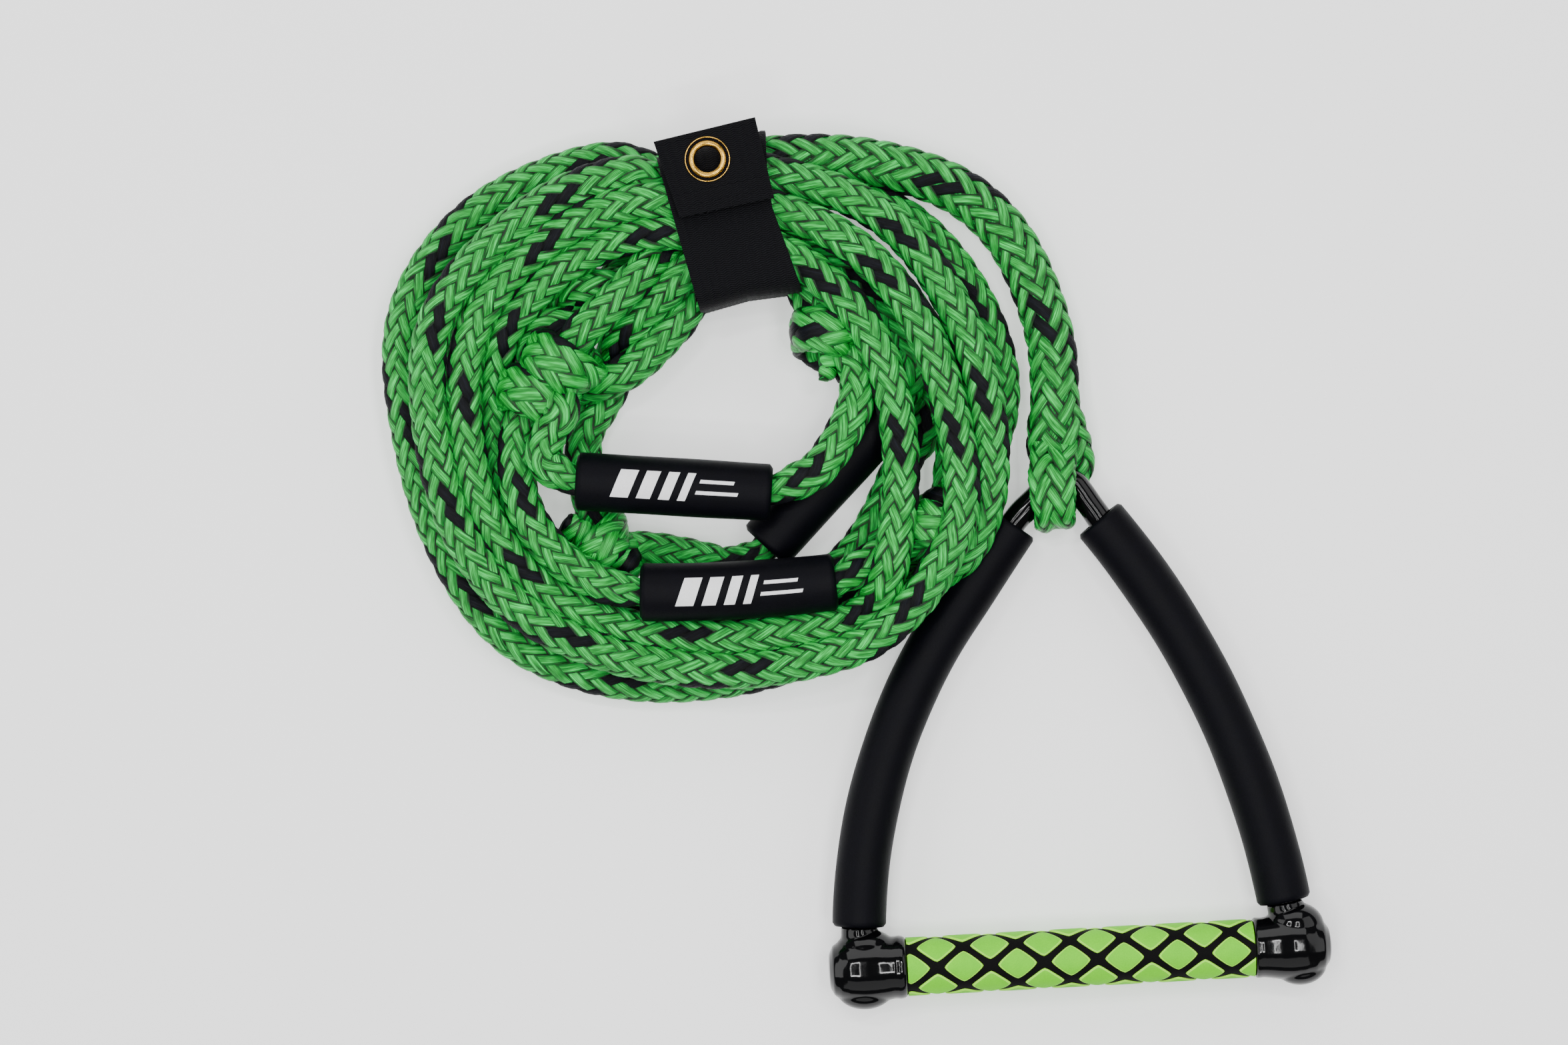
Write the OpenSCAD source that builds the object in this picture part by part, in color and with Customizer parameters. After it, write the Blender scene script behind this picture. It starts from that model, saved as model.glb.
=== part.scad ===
// Tow rope handle: a short bar on a rope bridle, hung in the spliced eye of a
// braided main line that is coiled, with three foam floats and a webbing tie.
// Millimetres, +Z up, on the surface z = 0. The bar lies along X and the
// bridle's apex points towards +Y. The origin is the middle of the handle's
// own outline, at the surface it lies on.

/* [Bar and grip] */
// Overall length of the handle, end cap to end cap
handle_w = 254; // [250:1:258]
// Outer diameter of the aluminium bar
bar_d = 22; // [21:0.5:23]
// Wall of the aluminium bar
bar_wall = 2; // [1.5:0.25:2.5]
// Length of the foam grip between the caps
grip_w = 176; // [172:1:178]
// Outer diameter of the grip over its raised pads
grip_d = 29.6; // [29:0.2:30.2]
// Height of the raised pads above the grooves
pad_h = 0.9; // [0.5:0.1:1.2]
// Pitch of the pads along the bar
pad_pitch = 27.2; // [26:0.2:28]

/* [Bridle] */
// Diameter of the glossy sheath on the bridle
sheath_d = 13.2; // [12.6:0.2:13.6]
// Diameter of the rope inside the sheath
bridle_d = 9.2; // [8.6:0.2:9.6]
// Height of the handle's middle plane above the surface
plane_z = 17; // [17:0.5:18]
// Outer diameter of the foam arm tubes
arm_d = 27; // [25:0.5:28]
// Bore of the foam arm tubes
arm_bore = 16.4; // [16:0.2:17]

/* [Main line] */
// Diameter of the plain solid that stands for the inner lines
line_d = 16; // [14:0.5:16]
// Width of the spliced lead below the eye
lead_w = 25; // [22:0.5:26]
// Thickness of the spliced lead
lead_h = 20; // [18:0.5:22]
// Height of the coil
coil_h = 46; // [44:1:50]
// Outer diameter of the floats
float_d = 29; // [28:0.5:29.5]
// Length of the floats
float_l = 98; // [94:1:100]
// Diameter of the stopper knots
knot_d = 38; // [34:1:42]

/* [Tie strap] */
// Width of the webbing
strap_w = 50; // [46:1:51]
// Thickness of the webbing
strap_t = 1.8; // [1.4:0.2:2]
// Outer diameter of the grommet
grommet_d = 22.6; // [21:0.2:23]
// Hole through the grommet
grommet_hole = 12.8; // [12:0.2:13.4]

/* [Hidden] */

$fn = 48;
gap = 0.3;

// Bar: its axis runs along X at this Y
bar_y = -114;
half_w = handle_w / 2;
bar_half = 113;
plug_in = 10;
plug_flange = 1.6;
cross_hole_d = bridle_d + 1.6;

// Bridle legs. Each leg is an arc about a centre, then a short straight.
left_c = [182, -110.5];
left_r = 293;
left_a0 = 143.6;
left_a1 = 180;
left_straight = 53.4;
left_turn_r = 40;
left_turn = 11.9;
right_c = [-321.2, -153.7];
right_r = 430.4;
right_a0 = 5.3;
right_a1 = 37.4;
arm_right_end = 37.2;
// The bridle rounds the eye on a small arc, which is also the yaw pivot
apex_c = [4, 118.8];
apex_r = 9;
apex_a0 = 37.4;
apex_a1 = 131.7;
sheath_left_start = 178.4;
sheath_right_start = 6.85;
hole_left_x = -111;
hole_right_x = 106.8;
arm_left_start = 176.4;
arm_right_start = 8.4;

// Eye at the end of the main line: a half ring round the sheath, two legs
// and the throat where they join
eye_w = 16;
eye_t = 9;
eye_at = [1, 116.5];
eye_inner_r = 7;
eye_throat_y = 141;
eye_end_y = 149;
eye_mid_r = eye_inner_r + eye_t / 2;

// Coil: inner and outer outline as distances from the coil's centre, at
// sixteen equal steps of angle from +X
coil_c = [-177, 167.6];
coil_in = [92, 88, 80, 68, 63, 72, 88, 100, 100, 102, 107, 106, 105, 113, 121, 106];
coil_out = [160, 159, 152, 142, 137, 148, 168, 167, 156, 153, 153, 145, 138, 144, 152, 159];
coil_steps = 48;
coil_edge = 9;

// Routes of the cords, one ring of the solid at each point
lead_route = [
    [3, 149, 17], [3, 168, 17], [3, 193, 15], [-2, 219, 12], [-10, 240, 12],
    [-22, 260, 12], [-41, 277, 12], [-69, 288, 13], [-99, 293, 16], [-122, 292, 22]
];
line_1_route = [
    [-196, 240, 30], [-222, 222, 32], [-246, 198, 33], [-249, 178, 33], [-254, 162, 33],
    [-256, 150, 35], [-250, 142, 36.5], [-240, 139.8, 37], [-143, 128.8, 37], [-131, 129.5, 38],
    [-116, 140.5, 38.5], [-102, 160, 38], [-93, 180, 34], [-98, 196, 29], [-110, 208, 26],
    [-118, 226, 26]
];
line_2_route = [
    [-240, 216, 14], [-254, 198, 16], [-263, 180, 20], [-270, 162, 24], [-272, 142, 26],
    [-266, 120, 29], [-252, 101, 33], [-233, 88, 36], [-216, 82.5, 37], [-108, 82.5, 37],
    [-94, 88, 35], [-78, 98, 31], [-62, 107, 26], [-54, 124, 20]
];
line_3_route = [
    [-245, 204, 12], [-240, 180, 10], [-238, 156, 9], [-236, 134, 10], [-229, 110, 14],
    [-208, 104, 11], [-182, 98, 9], [-167, 93.5, 11], [-155, 95.5, 14], [-147.5, 101.8, 15],
    [-77.5, 170.4, 15], [-70, 178, 15], [-64, 187, 15]
];
loop_route = [
    [-238, 206, 20], [-222, 219, 22], [-205, 229, 24], [-191, 233, 25], [-183, 226, 25],
    [-183, 214, 24], [-196, 206, 22], [-214, 199, 20], [-232, 190, 18]
];

// Floats: start of the axis, heading and pitch
float_r = float_d / 2;
float_bore = line_d + 1.2;
float_1_at = [-240, 139.8, 37];
float_1_turn = -6.47;
float_2_at = [-211, 82.5, 37];
float_2_turn = 0;
float_3_at = [-147.5, 101.8, 15];
float_3_turn = 44.4;

knot_1a_at = [-246, 198, 30];
knot_1b_at = [-110, 207, 24];
knot_2a_at = [-261, 181, 21];
knot_2b_at = [-62, 107, 26];
knot_3a_at = [-229, 107, 18];
tail_at = [-104, 190, 22];

// Tie strap: the band leans from +Y, and the flap leans a little less
strap_at = [-149, 226.5];
strap_lean = 12.8;
flap_lean = 9;
band_l = 80;
band_h = 50;
band_round = 10;
crease_at = [-159.4, 271];
flap_l = 44;
flap_z = band_h + 2.4;
patch_t = 1.1;
grommet_at = [-165.5, 295.8];
grommet_rim = 1.2;

function len3(v) = sqrt(v * v);
function unit(v) = v / len3(v);
function on_circle(c, r, a) = [c.x + r * cos(a), c.y + r * sin(a)];
function clamp_i(i, n) = max(0, min(n - 1, i));

// Value of a closed list at a fractional step, smooth through its entries
function around(list, t) =
    let (n = len(list), i = floor(t), f = t - i,
         a = list[(i + n - 1) % n], b = list[i % n],
         c = list[(i + 1) % n], d = list[(i + 2) % n])
    b + 0.5 * f * (c - a + f * (2 * a - 5 * b + 4 * c - d + f * (3 * (b - c) + d - a)));

function tangent(route, i) =
    let (n = len(route)) unit(route[clamp_i(i + 1, n)] - route[clamp_i(i - 1, n)]);

function ring(route, i, w, h, sides) =
    let (t = tangent(route, i), s = unit(cross(t, [0, 0, 1])), u = cross(s, t))
    [for (k = [0 : sides - 1])
        let (a = 360 * k / sides) route[i] + s * cos(a) * w / 2 + u * sin(a) * h / 2];

// A plain cord: one ring at each point of its route
module cord(route, w, h, sides = 10) {
    n = len(route);
    points = [for (i = [0 : n - 1]) each ring(route, i, w, h, sides)];
    walls = [for (i = [0 : n - 2], k = [0 : sides - 1])
        [i * sides + k, i * sides + (k + 1) % sides,
         (i + 1) * sides + (k + 1) % sides, (i + 1) * sides + k]];
    start = [for (k = [sides - 1 : -1 : 0]) k];
    end = [for (k = [0 : sides - 1]) (n - 1) * sides + k];
    polyhedron(points = points, faces = concat([start], walls, [end]), convexity = 6);
}

// A plain pipe: an outer and an inner ring at each point of its route
module pipe(route, d_out, d_in, sides = 12) {
    n = len(route);
    m = n * sides;
    points = concat([for (i = [0 : n - 1]) each ring(route, i, d_out, d_out, sides)],
                    [for (i = [0 : n - 1]) each ring(route, i, d_in, d_in, sides)]);
    outer = [for (i = [0 : n - 2], k = [0 : sides - 1])
        let (j = (k + 1) % sides)
            [i * sides + k, i * sides + j, (i + 1) * sides + j, (i + 1) * sides + k]];
    inner = [for (f = outer) [f[3] + m, f[2] + m, f[1] + m, f[0] + m]];
    start = [for (k = [0 : sides - 1]) let (j = (k + 1) % sides) [k, k + m, j + m, j]];
    end = [for (f = start) [for (v = [3 : -1 : 0]) f[v] + (n - 1) * sides]];
    polyhedron(points = points, faces = concat(outer, inner, start, end), convexity = 6);
}

// Round bar between two points of a level plane
module rod(a, b, r, z) {
    translate([a.x, a.y, z])
        rotate([0, 0, atan2(b.y - a.y, b.x - a.x)])
            rotate([0, 90, 0])
                cylinder(r = r, h = norm(b - a));
}

// Round bar bent about a centre in a level plane
module bend(c, r_path, a0, a1, r, z) {
    translate([c.x, c.y, z])
        rotate([0, 0, a0])
            rotate_extrude(angle = a1 - a0, $fn = 180)
                translate([r_path, 0])
                    circle(r = r, $fn = 32);
}

left_end = on_circle(left_c, left_r, left_a0);
left_dir = [cos(left_a0 - 90), sin(left_a0 - 90)];
left_top = left_end + left_dir * left_straight;
left_turn_c = left_top + left_turn_r * [cos(left_a0 - 180), sin(left_a0 - 180)];
left_foot = on_circle(left_c, left_r, left_a1);
right_foot = on_circle(right_c, right_r, right_a0);

// Points of an arc, one at each step of about the given angle
function arc_points(c, r, a0, a1, step) =
    let (n = ceil(abs(a1 - a0) / step))
    [for (k = [0 : n]) let (p = on_circle(c, r, a0 + (a1 - a0) * k / n)) [p.x, p.y, plane_z]];

// The bridle between two angles on its left arc and its right arc
function bridle_between(left_a, right_a) = concat(
    arc_points(left_c, left_r, left_a, left_a0, 4),
    arc_points(left_turn_c, left_turn_r, left_a0, left_a0 - left_turn, 4),
    arc_points(apex_c, apex_r, apex_a1, apex_a0, 12),
    arc_points(right_c, right_r, right_a1, right_a, 3)
);

module along_bar(x0, x1, r) {
    translate([x0, bar_y, plane_z])
        rotate([0, 90, 0])
            cylinder(r = r, h = x1 - x0);
}

module across_bar(x, y0, y1, r) {
    translate([x, y0, plane_z])
        rotate([-90, 0, 0])
            cylinder(r = r, h = y1 - y0);
}

module bar_tube() {
    color("silver")
        difference() {
            along_bar(-bar_half, bar_half, bar_d / 2);
            along_bar(-bar_half - 1, bar_half + 1, bar_d / 2 - bar_wall);
            for (x = [hole_left_x, hole_right_x])
                across_bar(x, bar_y - bar_d, bar_y + bar_d, cross_hole_d / 2);
        }
}

// Plug pressed into the open end of the bar, notched for the rope
module bar_plug(side, hole_x) {
    color("dimgray")
        difference() {
            union() {
                translate([side * (bar_half - plug_in / 2), bar_y, plane_z])
                    rotate([0, 90, 0])
                        cylinder(d = bar_d - 2 * bar_wall, h = plug_in, center = true);
                translate([side * (bar_half + plug_flange / 2), bar_y, plane_z])
                    rotate([0, 90, 0])
                        cylinder(d = bar_d, h = plug_flange, center = true);
            }
            across_bar(hole_x, bar_y - bar_d, bar_y + bar_d, cross_hole_d / 2);
        }
}

module grip_sleeve() {
    color("black")
        difference() {
            along_bar(-grip_w / 2, grip_w / 2, grip_d / 2 - pad_h);
            along_bar(-grip_w, grip_w, bar_d / 2);
        }
}

// Raised pads: rows of rhombs round the grip, each row half a pitch on
pad_rows = 8;
pad_fill = 0.69;
pad_end = grip_w / 2 - 1;

module pad(x, angle) {
    w = pad_pitch * pad_fill / 2;
    h = sin(360 / pad_rows * pad_fill) * grip_d / 2;
    left = max(-w, -pad_end - x);
    right = min(w, pad_end - x);
    outline = [
        [left, -h * (1 + left / w)], [0, -h], [right, -h * (1 - right / w)],
        [right, h * (1 - right / w)], [0, h], [left, h * (1 + left / w)]
    ];
    translate([x, bar_y, plane_z])
        rotate([angle, 0, 0])
            translate([0, 0, grip_d / 2 - 6])
                linear_extrude(6.5)
                    polygon(outline);
}

module grip_pads() {
    color("yellowgreen")
        intersection() {
            difference() {
                along_bar(-pad_end, pad_end, grip_d / 2);
                along_bar(-grip_w, grip_w, grip_d / 2 - pad_h);
            }
            for (row = [0 : pad_rows - 1], k = [-3 : 3])
                let (x = (k + (row % 2) / 2) * pad_pitch)
                    if (abs(x) < pad_end)
                        pad(x, row * 360 / pad_rows);
        }
}

// Dipped ends: outline of revolution on the bar, a neck and a knot's bulge
cap_left_profile = [
    [0, 88], [14.4, 88], [15.6, 89.5], [16.6, 96], [16.9, 110], [16.4, 122],
    [14, 126], [11, half_w], [0, half_w]
];
cap_right_profile = [
    [0, 88], [14.6, 88], [15.2, 94], [16.6, 102], [17, 110], [16.6, 117],
    [14, 123], [9, 126.3], [4, half_w], [0, half_w]
];
neck_r = 9.4;
bulge_r = 10.5;

module cap_outline(profile) {
    translate([0, bar_y, plane_z])
        rotate([0, 90, 0])
            rotate_extrude($fn = 72)
                polygon([for (p = profile) [p.x, p.y]]);
}

module cap(side, profile, foot, neck_from, neck_to, knot_y) {
    color("black")
        difference() {
            union() {
                if (side > 0) cap_outline(profile);
                else mirror([1, 0, 0]) cap_outline(profile);
                rod(neck_from, neck_to, neck_r, plane_z);
                translate([foot.x, knot_y, plane_z]) sphere(r = bulge_r);
            }
            along_bar(-bar_half - plug_flange - cap_room, bar_half + plug_flange + cap_room,
                      bar_d / 2 + cap_room);
            across_bar(foot.x, knot_end_y, bar_y, knot_r);
            across_bar(foot.x, bar_y - 1, bar_y + bar_d / 2 + 1, cross_hole_d / 2);
            neck_bore();
        }
}

// Room between a cap and what it covers
cap_room = 0.05;
knot_r = 6.6;
knot_l = 5;
knot_drop = 0.4;
rope_end_y = bar_y - bar_d / 2 - knot_drop;
knot_end_y = rope_end_y - knot_l;
left_neck_top = on_circle(left_c, left_r, arm_left_start + 0.1);
right_neck_top = on_circle(right_c, right_r, arm_right_start - 0.07);

// Where the sheath comes up through the two necks
module neck_bore() {
    bend(left_c, left_r, arm_left_start - 1, left_a1, sheath_d / 2 + cap_room, plane_z);
    bend(right_c, right_r, right_a0, arm_right_start + 1, sheath_d / 2 + cap_room, plane_z);
}

module end_cap_left() {
    cap(-1, cap_left_profile, left_foot, left_foot, left_neck_top, -124);
}

module end_cap_right() {
    cap(1, cap_right_profile, right_foot, right_foot, right_neck_top, -124);
}

// The rope goes through the bar at both ends and is knotted below it
module bridle_rope() {
    color("seagreen")
        cord(concat([[left_foot.x, rope_end_y, plane_z]], bridle_between(left_a1, right_a0),
                    [[right_foot.x, rope_end_y, plane_z]]), bridle_d, bridle_d, 12);
}

// Glossy sheath on the rope, from one neck to the other
module bridle_sheath() {
    color("black")
        pipe(bridle_between(sheath_left_start, sheath_right_start), sheath_d, bridle_d, 12);
}

module bridle_knot(foot) {
    color("seagreen")
        translate([foot.x, knot_end_y, plane_z])
            rotate([-90, 0, 0])
                rotate_extrude()
                    polygon([[0, 0], [knot_r - 2.4, 0], [knot_r - gap, 2.2],
                             [knot_r - gap, knot_l - 2.2], [knot_r - 2.4, knot_l], [0, knot_l]]);
}

// Section of a foam tube, with a wall thinner by a little on both sides
module arm_section(thin = 0) {
    difference() {
        circle(d = arm_d - 2 * thin, $fn = 48);
        circle(d = arm_bore + 2 * thin, $fn = 48);
    }
}

// Foam tube bent round a centre
module arm_bend(c, r_path, a0, a1) {
    translate([c.x, c.y, plane_z])
        rotate([0, 0, a0])
            rotate_extrude(angle = a1 - a0, $fn = 180)
                translate([r_path, 0])
                    arm_section();
}

// Foam tube on the left leg: the arc, then a straight that starts inside it
arm_lap = 1;
arm_thin = 0.05;

module arm_tube_left() {
    color("black") {
        arm_bend(left_c, left_r, left_a0, arm_left_start);
        translate([left_end.x, left_end.y, plane_z])
            rotate([0, 0, left_a0 - 90])
                rotate([0, 90, 0])
                    translate([0, 0, -arm_lap])
                        linear_extrude(left_straight + arm_lap)
                            arm_section(arm_thin);
    }
}

module arm_tube_right() {
    color("black")
        arm_bend(right_c, right_r, arm_right_start, arm_right_end);
}

// Flat strand round the bridle: section of the eye
module strand_section(w, t) {
    square([t, w - t], center = true);
    for (s = [-1, 1])
        translate([0, s * (w - t) / 2])
            circle(d = t);
}

module spliced_eye() {
    color("limegreen") {
        translate([eye_at.x, eye_at.y, plane_z])
            rotate([0, 90, 0])
                rotate([0, 0, 180])
                    rotate_extrude(angle = 180)
                        translate([eye_mid_r, 0])
                            strand_section(eye_w, eye_t);
        for (s = [-1, 1])
            translate([eye_at.x, eye_at.y, plane_z + s * eye_mid_r])
                rotate([-90, 0, 0])
                    linear_extrude(eye_throat_y - eye_at.y)
                        rotate([0, 0, 90])
                            strand_section(eye_w, eye_t);
        translate([lead_route[0].x, eye_throat_y, plane_z])
            rotate([-90, 0, 0])
                linear_extrude(eye_end_y - eye_throat_y)
                    rotate([0, 0, 90])
                        strand_section(lead_w + 6, 2 * (eye_mid_r + eye_t / 2));
    }
}

module mainline_lead() {
    color("limegreen")
        cord(lead_route, lead_w, lead_h);
}

// Cross-section of the coil at one step round it
function coil_ring(i) =
    let (t = i * 16 / coil_steps, a = i * 360 / coil_steps, e = coil_edge,
         r0 = around(coil_in, t), r1 = around(coil_out, t))
    [for (p = [[r0 + e, 0], [r1 - e, 0], [r1, e], [r1, coil_h - 1.6 * e], [r1 - 1.4 * e, coil_h],
               [r0 + 1.4 * e, coil_h], [r0, coil_h - 1.6 * e], [r0, e]])
        [coil_c.x + p.x * cos(a), coil_c.y + p.x * sin(a), p.y]];

module coil_outline() {
    sides = 8;
    points = [for (i = [0 : coil_steps - 1]) each coil_ring(i)];
    walls = [for (i = [0 : coil_steps - 1], k = [0 : sides - 1])
        let (j = (i + 1) % coil_steps)
            [i * sides + k, i * sides + (k + 1) % sides,
             j * sides + (k + 1) % sides, j * sides + k]];
    polyhedron(points = points, faces = walls, convexity = 8);
}

arm_room = 5;
room_top = plane_z + arm_d / 2 + 3.5;

// Room for the left arm and the bridle, which lie under the coil's edge
module arm_clearance() {
    translate([0, 0, -1])
        linear_extrude(room_top + 1) {
            translate(left_end)
                rotate(left_a0 - 90)
                    translate([-40, -arm_d / 2 - arm_room])
                        square([40 + left_straight + arm_room, arm_d + 2 * arm_room]);
            translate(left_top)
                rotate(left_a0 - 90 - left_turn)
                    translate([0, -sheath_d / 2 - arm_room])
                        square([30, sheath_d + 2 * arm_room]);
        }
}

module float_place(at, turn) {
    translate(at)
        rotate([0, 0, turn])
            rotate([0, 90, 0])
                children();
}

module float_clearance(at, turn) {
    float_place(at, turn)
        translate([0, 0, -2])
            cylinder(r = float_r + 0.9, h = float_l + 4);
}

module band_local() {
    translate([strap_at.x, strap_at.y, 0])
        rotate([0, 0, strap_lean])
            children();
}

// An outline in the band's plane, extruded across the band's width
module across_band(width) {
    translate([-width / 2, 0, 0])
        rotate([90, 0, 90])
            linear_extrude(width)
                children();
}

module mainline_coil() {
    color("limegreen")
        difference() {
            coil_outline();
            arm_clearance();
            float_clearance(float_1_at, float_1_turn);
            float_clearance(float_2_at, float_2_turn);
            float_clearance(float_3_at, float_3_turn);
            band_local()
                across_band(strap_w + 2)
                    difference() {
                        translate([-30, -1])
                            square([band_l + 60, band_h + 2]);
                        band_outline(strap_t + gap);
                    }
        }
}

module inner_line(route) {
    color("limegreen")
        cord(route, line_d, line_d);
}

module knot(at) {
    color("forestgreen")
        translate(at)
            sphere(d = knot_d, $fn = 36);
}

module tail_sleeve() {
    color("black")
        translate(tail_at)
            rotate([0, 78, -65])
                cylinder(d = 11, h = 12, center = true);
}

module boat_loop() {
    color("limegreen")
        cord(loop_route, line_d, line_d);
}

module float_body(at, turn) {
    round_r = 2;
    color("black")
        float_place(at, turn)
            rotate_extrude($fn = 72)
                polygon([[float_bore / 2, 0], [float_r - round_r, 0], [float_r - 0.6, 0.6],
                         [float_r, round_r], [float_r, float_l - round_r],
                         [float_r - 0.6, float_l - 0.6], [float_r - round_r, float_l],
                         [float_bore / 2, float_l]]);
}

// Rounded outline of the band, in the plane of its length and height
module band_outline(inset) {
    r = band_round - inset;
    x0 = inset + r;
    x1 = band_l - inset - r;
    y0 = inset + r;
    y1 = band_h - inset - r;
    translate([inset, y0]) square([band_l - 2 * inset, y1 - y0]);
    translate([x0, inset]) square([x1 - x0, band_h - 2 * inset]);
    for (x = [x0, x1], y = [y0, y1])
        translate([x, y]) circle(r = r);
}

module strap_band() {
    color("black")
        band_local()
            across_band(strap_w)
                difference() {
                    band_outline(0);
                    band_outline(strap_t);
                }
}

module flap_local() {
    translate([crease_at.x, crease_at.y, 0])
        rotate([0, 0, flap_lean])
            children();
}

module strap_flap() {
    color("black")
        difference() {
            flap_local()
                translate([-strap_w / 2 + 1, 0, flap_z])
                    cube([strap_w - 2, flap_l, strap_t]);
            translate([grommet_at.x, grommet_at.y, flap_z - 1])
                cylinder(d = grommet_hole + 2 * grommet_rim, h = strap_t + 2);
        }
}

// Hook-and-loop pair between the flap and the band below it
module patch(z) {
    flap_local()
        translate([-strap_w / 2 + 5, 2, z])
            cube([strap_w - 10, 12, patch_t]);
}

module hook_patch() {
    color("dimgray")
        patch(band_h + 0.05);
}

module loop_patch() {
    color("dimgray")
        patch(flap_z - patch_t);
}

// Rolled rim with a barrel through the webbing
module grommet_front() {
    color("goldenrod")
        translate([grommet_at.x, grommet_at.y, flap_z])
            rotate_extrude($fn = 72)
                polygon([[grommet_hole / 2, -1], [grommet_hole / 2 + grommet_rim, -1],
                         [grommet_hole / 2 + grommet_rim, strap_t], [grommet_d / 2 - 0.8, strap_t],
                         [grommet_d / 2, strap_t + 0.7], [grommet_d / 2 - 0.8, strap_t + 1.5],
                         [grommet_hole / 2 + 1.6, strap_t + 2.2], [grommet_hole / 2 + 0.4, strap_t + 1.8],
                         [grommet_hole / 2, strap_t + 1]]);
}

module grommet_back() {
    color("goldenrod")
        translate([grommet_at.x, grommet_at.y, flap_z - 0.9])
            difference() {
                cylinder(d = grommet_d - 2, h = 0.9, $fn = 72);
                translate([0, 0, -1])
                    cylinder(d = grommet_hole + 2 * grommet_rim, h = 3, $fn = 72);
            }
}

bar_tube();
bar_plug(-1, hole_left_x);  // bar_plug_left
bar_plug(1, hole_right_x);  // bar_plug_right
grip_sleeve();
grip_pads();
end_cap_left();
end_cap_right();
bridle_rope();
bridle_sheath();
bridle_knot(left_foot);  // bridle_knot_left
bridle_knot(right_foot);  // bridle_knot_right
arm_tube_left();
arm_tube_right();
spliced_eye();
mainline_lead();
mainline_coil();
inner_line(line_1_route);  // inner_line_1
inner_line(line_2_route);  // inner_line_2
inner_line(line_3_route);  // inner_line_3
knot(knot_1a_at);  // knot_1a
knot(knot_1b_at);  // knot_1b
knot(knot_2a_at);  // knot_2a
knot(knot_2b_at);  // knot_2b
knot(knot_3a_at);  // knot_3a
tail_sleeve();
boat_loop();
float_body(float_1_at, float_1_turn);  // float_1
float_body(float_2_at, float_2_turn);  // float_2
float_body(float_3_at, float_3_turn);  // float_3
strap_band();
strap_flap();
hook_patch();
loop_patch();
grommet_front();
grommet_back();
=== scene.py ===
"""Looks of a tow rope handle: padded bar, rope bridle, coiled line with foam floats, and a webbing tie.

Lengths are in millimetres in the tables and functions, and become metres when a mesh is made.
"""
import math
from functools import partial

import bmesh
import bpy
import numpy as np
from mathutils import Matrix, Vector


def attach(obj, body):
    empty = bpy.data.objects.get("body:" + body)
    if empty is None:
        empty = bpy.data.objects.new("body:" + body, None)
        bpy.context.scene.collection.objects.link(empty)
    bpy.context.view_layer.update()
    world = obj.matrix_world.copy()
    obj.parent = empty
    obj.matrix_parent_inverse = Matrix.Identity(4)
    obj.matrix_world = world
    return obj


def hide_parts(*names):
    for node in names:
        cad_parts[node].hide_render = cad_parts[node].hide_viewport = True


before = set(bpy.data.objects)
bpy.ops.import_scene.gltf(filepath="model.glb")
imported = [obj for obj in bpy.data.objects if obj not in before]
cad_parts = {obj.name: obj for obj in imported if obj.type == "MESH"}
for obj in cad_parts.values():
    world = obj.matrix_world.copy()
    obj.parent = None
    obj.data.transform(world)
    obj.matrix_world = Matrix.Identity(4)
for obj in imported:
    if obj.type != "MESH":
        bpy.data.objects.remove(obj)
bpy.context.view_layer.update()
MM = 0.001


# ---------------------------------------------------------------- camera
VIEW_CENTRE = (-137.3, 113.5)
VIEW_WIDTH = 791.7
VIEW_DISTANCE = 2200
VIEW_ROLL = -3.11
FOCUS_Z = 18

camera_data = bpy.data.cameras.new("camera")
camera_data.sensor_width = 36
camera_data.lens = 36 * VIEW_DISTANCE / VIEW_WIDTH
camera_data.clip_end = 20
camera = bpy.data.objects.new("camera", camera_data)
camera.location = (VIEW_CENTRE[0] * MM, VIEW_CENTRE[1] * MM, (VIEW_DISTANCE + FOCUS_Z) * MM)
camera.rotation_euler = (0, 0, math.radians(VIEW_ROLL))
bpy.context.scene.collection.objects.link(camera)
bpy.context.scene.camera = camera


# ---------------------------------------------------------------- rope routes
LINE_W, LINE_H = 19.5, 14.5        # the hollow braid lies flattened
LEAD_W, LEAD_H = 25, 18            # fuller where the splice is buried in it
EYE_W, EYE_H = 25, 9.4
KNOT_W = 15.5
IN_FLOAT_W, IN_FLOAT_H = 7.6, 7.0  # half width and half height of the line inside a float

COIL_C = np.array((-177.0, 167.6))
START_ANGLE = 90
ANGLE_STEP = 22.5

# Each turn of the coil: distance from the centre and height, every 22.5 degrees from the strap
TURNS = [
    ((143, 144, 156, 160, 147, 145, 148, 140, 133, 131, 138, 152, 145, 140.5, 139, 130),
     (14, 12, 12, 13, 15, 15, 16, 12, 9, 9, 16, 33, 34, 32, 30, 31)),
    ((131, 132, 136.5, 143, 135, 134, 132, 125, 127, 134, 143, 140, 126, 121, 117.5, 112.5),
     (36, 34, 32, 32, 32, 32, 32, 28, 30, 34, 40, 42, 38, 38, 38, 38)),
    ((114, 115, 120.5, 123.5, 118, 120, 118, 111, 110.5, 117, 121, 108, 99, 97, 94, 94),
     (38, 36, 30, 28, 28, 27, 27, 27, 28, 32, 36, 38, 39, 39, 38, 38)),
    ((97, 102, 105, 105, 104, 107, 105, 102, 101, 103, 105, 103, 104, 105, 104, 104),
     (36, 32, 26, 20, 12, 12, 12, 10, 9, 9, 9, 9, 9, 9, 9, 9)),
    ((118, 120, 122, 128, 126, 126, 126, 120, 117, 118, 122, 136, 155, 153, 146, 122),
     (9, 9, 9, 9, 9, 9, 9, 9, 9, 9, 9, 9, 11, 12, 9, 16)),
]

EYE_CENTRE = (116.5, 17)           # y and z of the half ring round the bridle
EYE_R = 11.5
EYE_X, EYE_DRIFT = -1.5, 2         # where the half ring starts, and how far it moves along X

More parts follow.
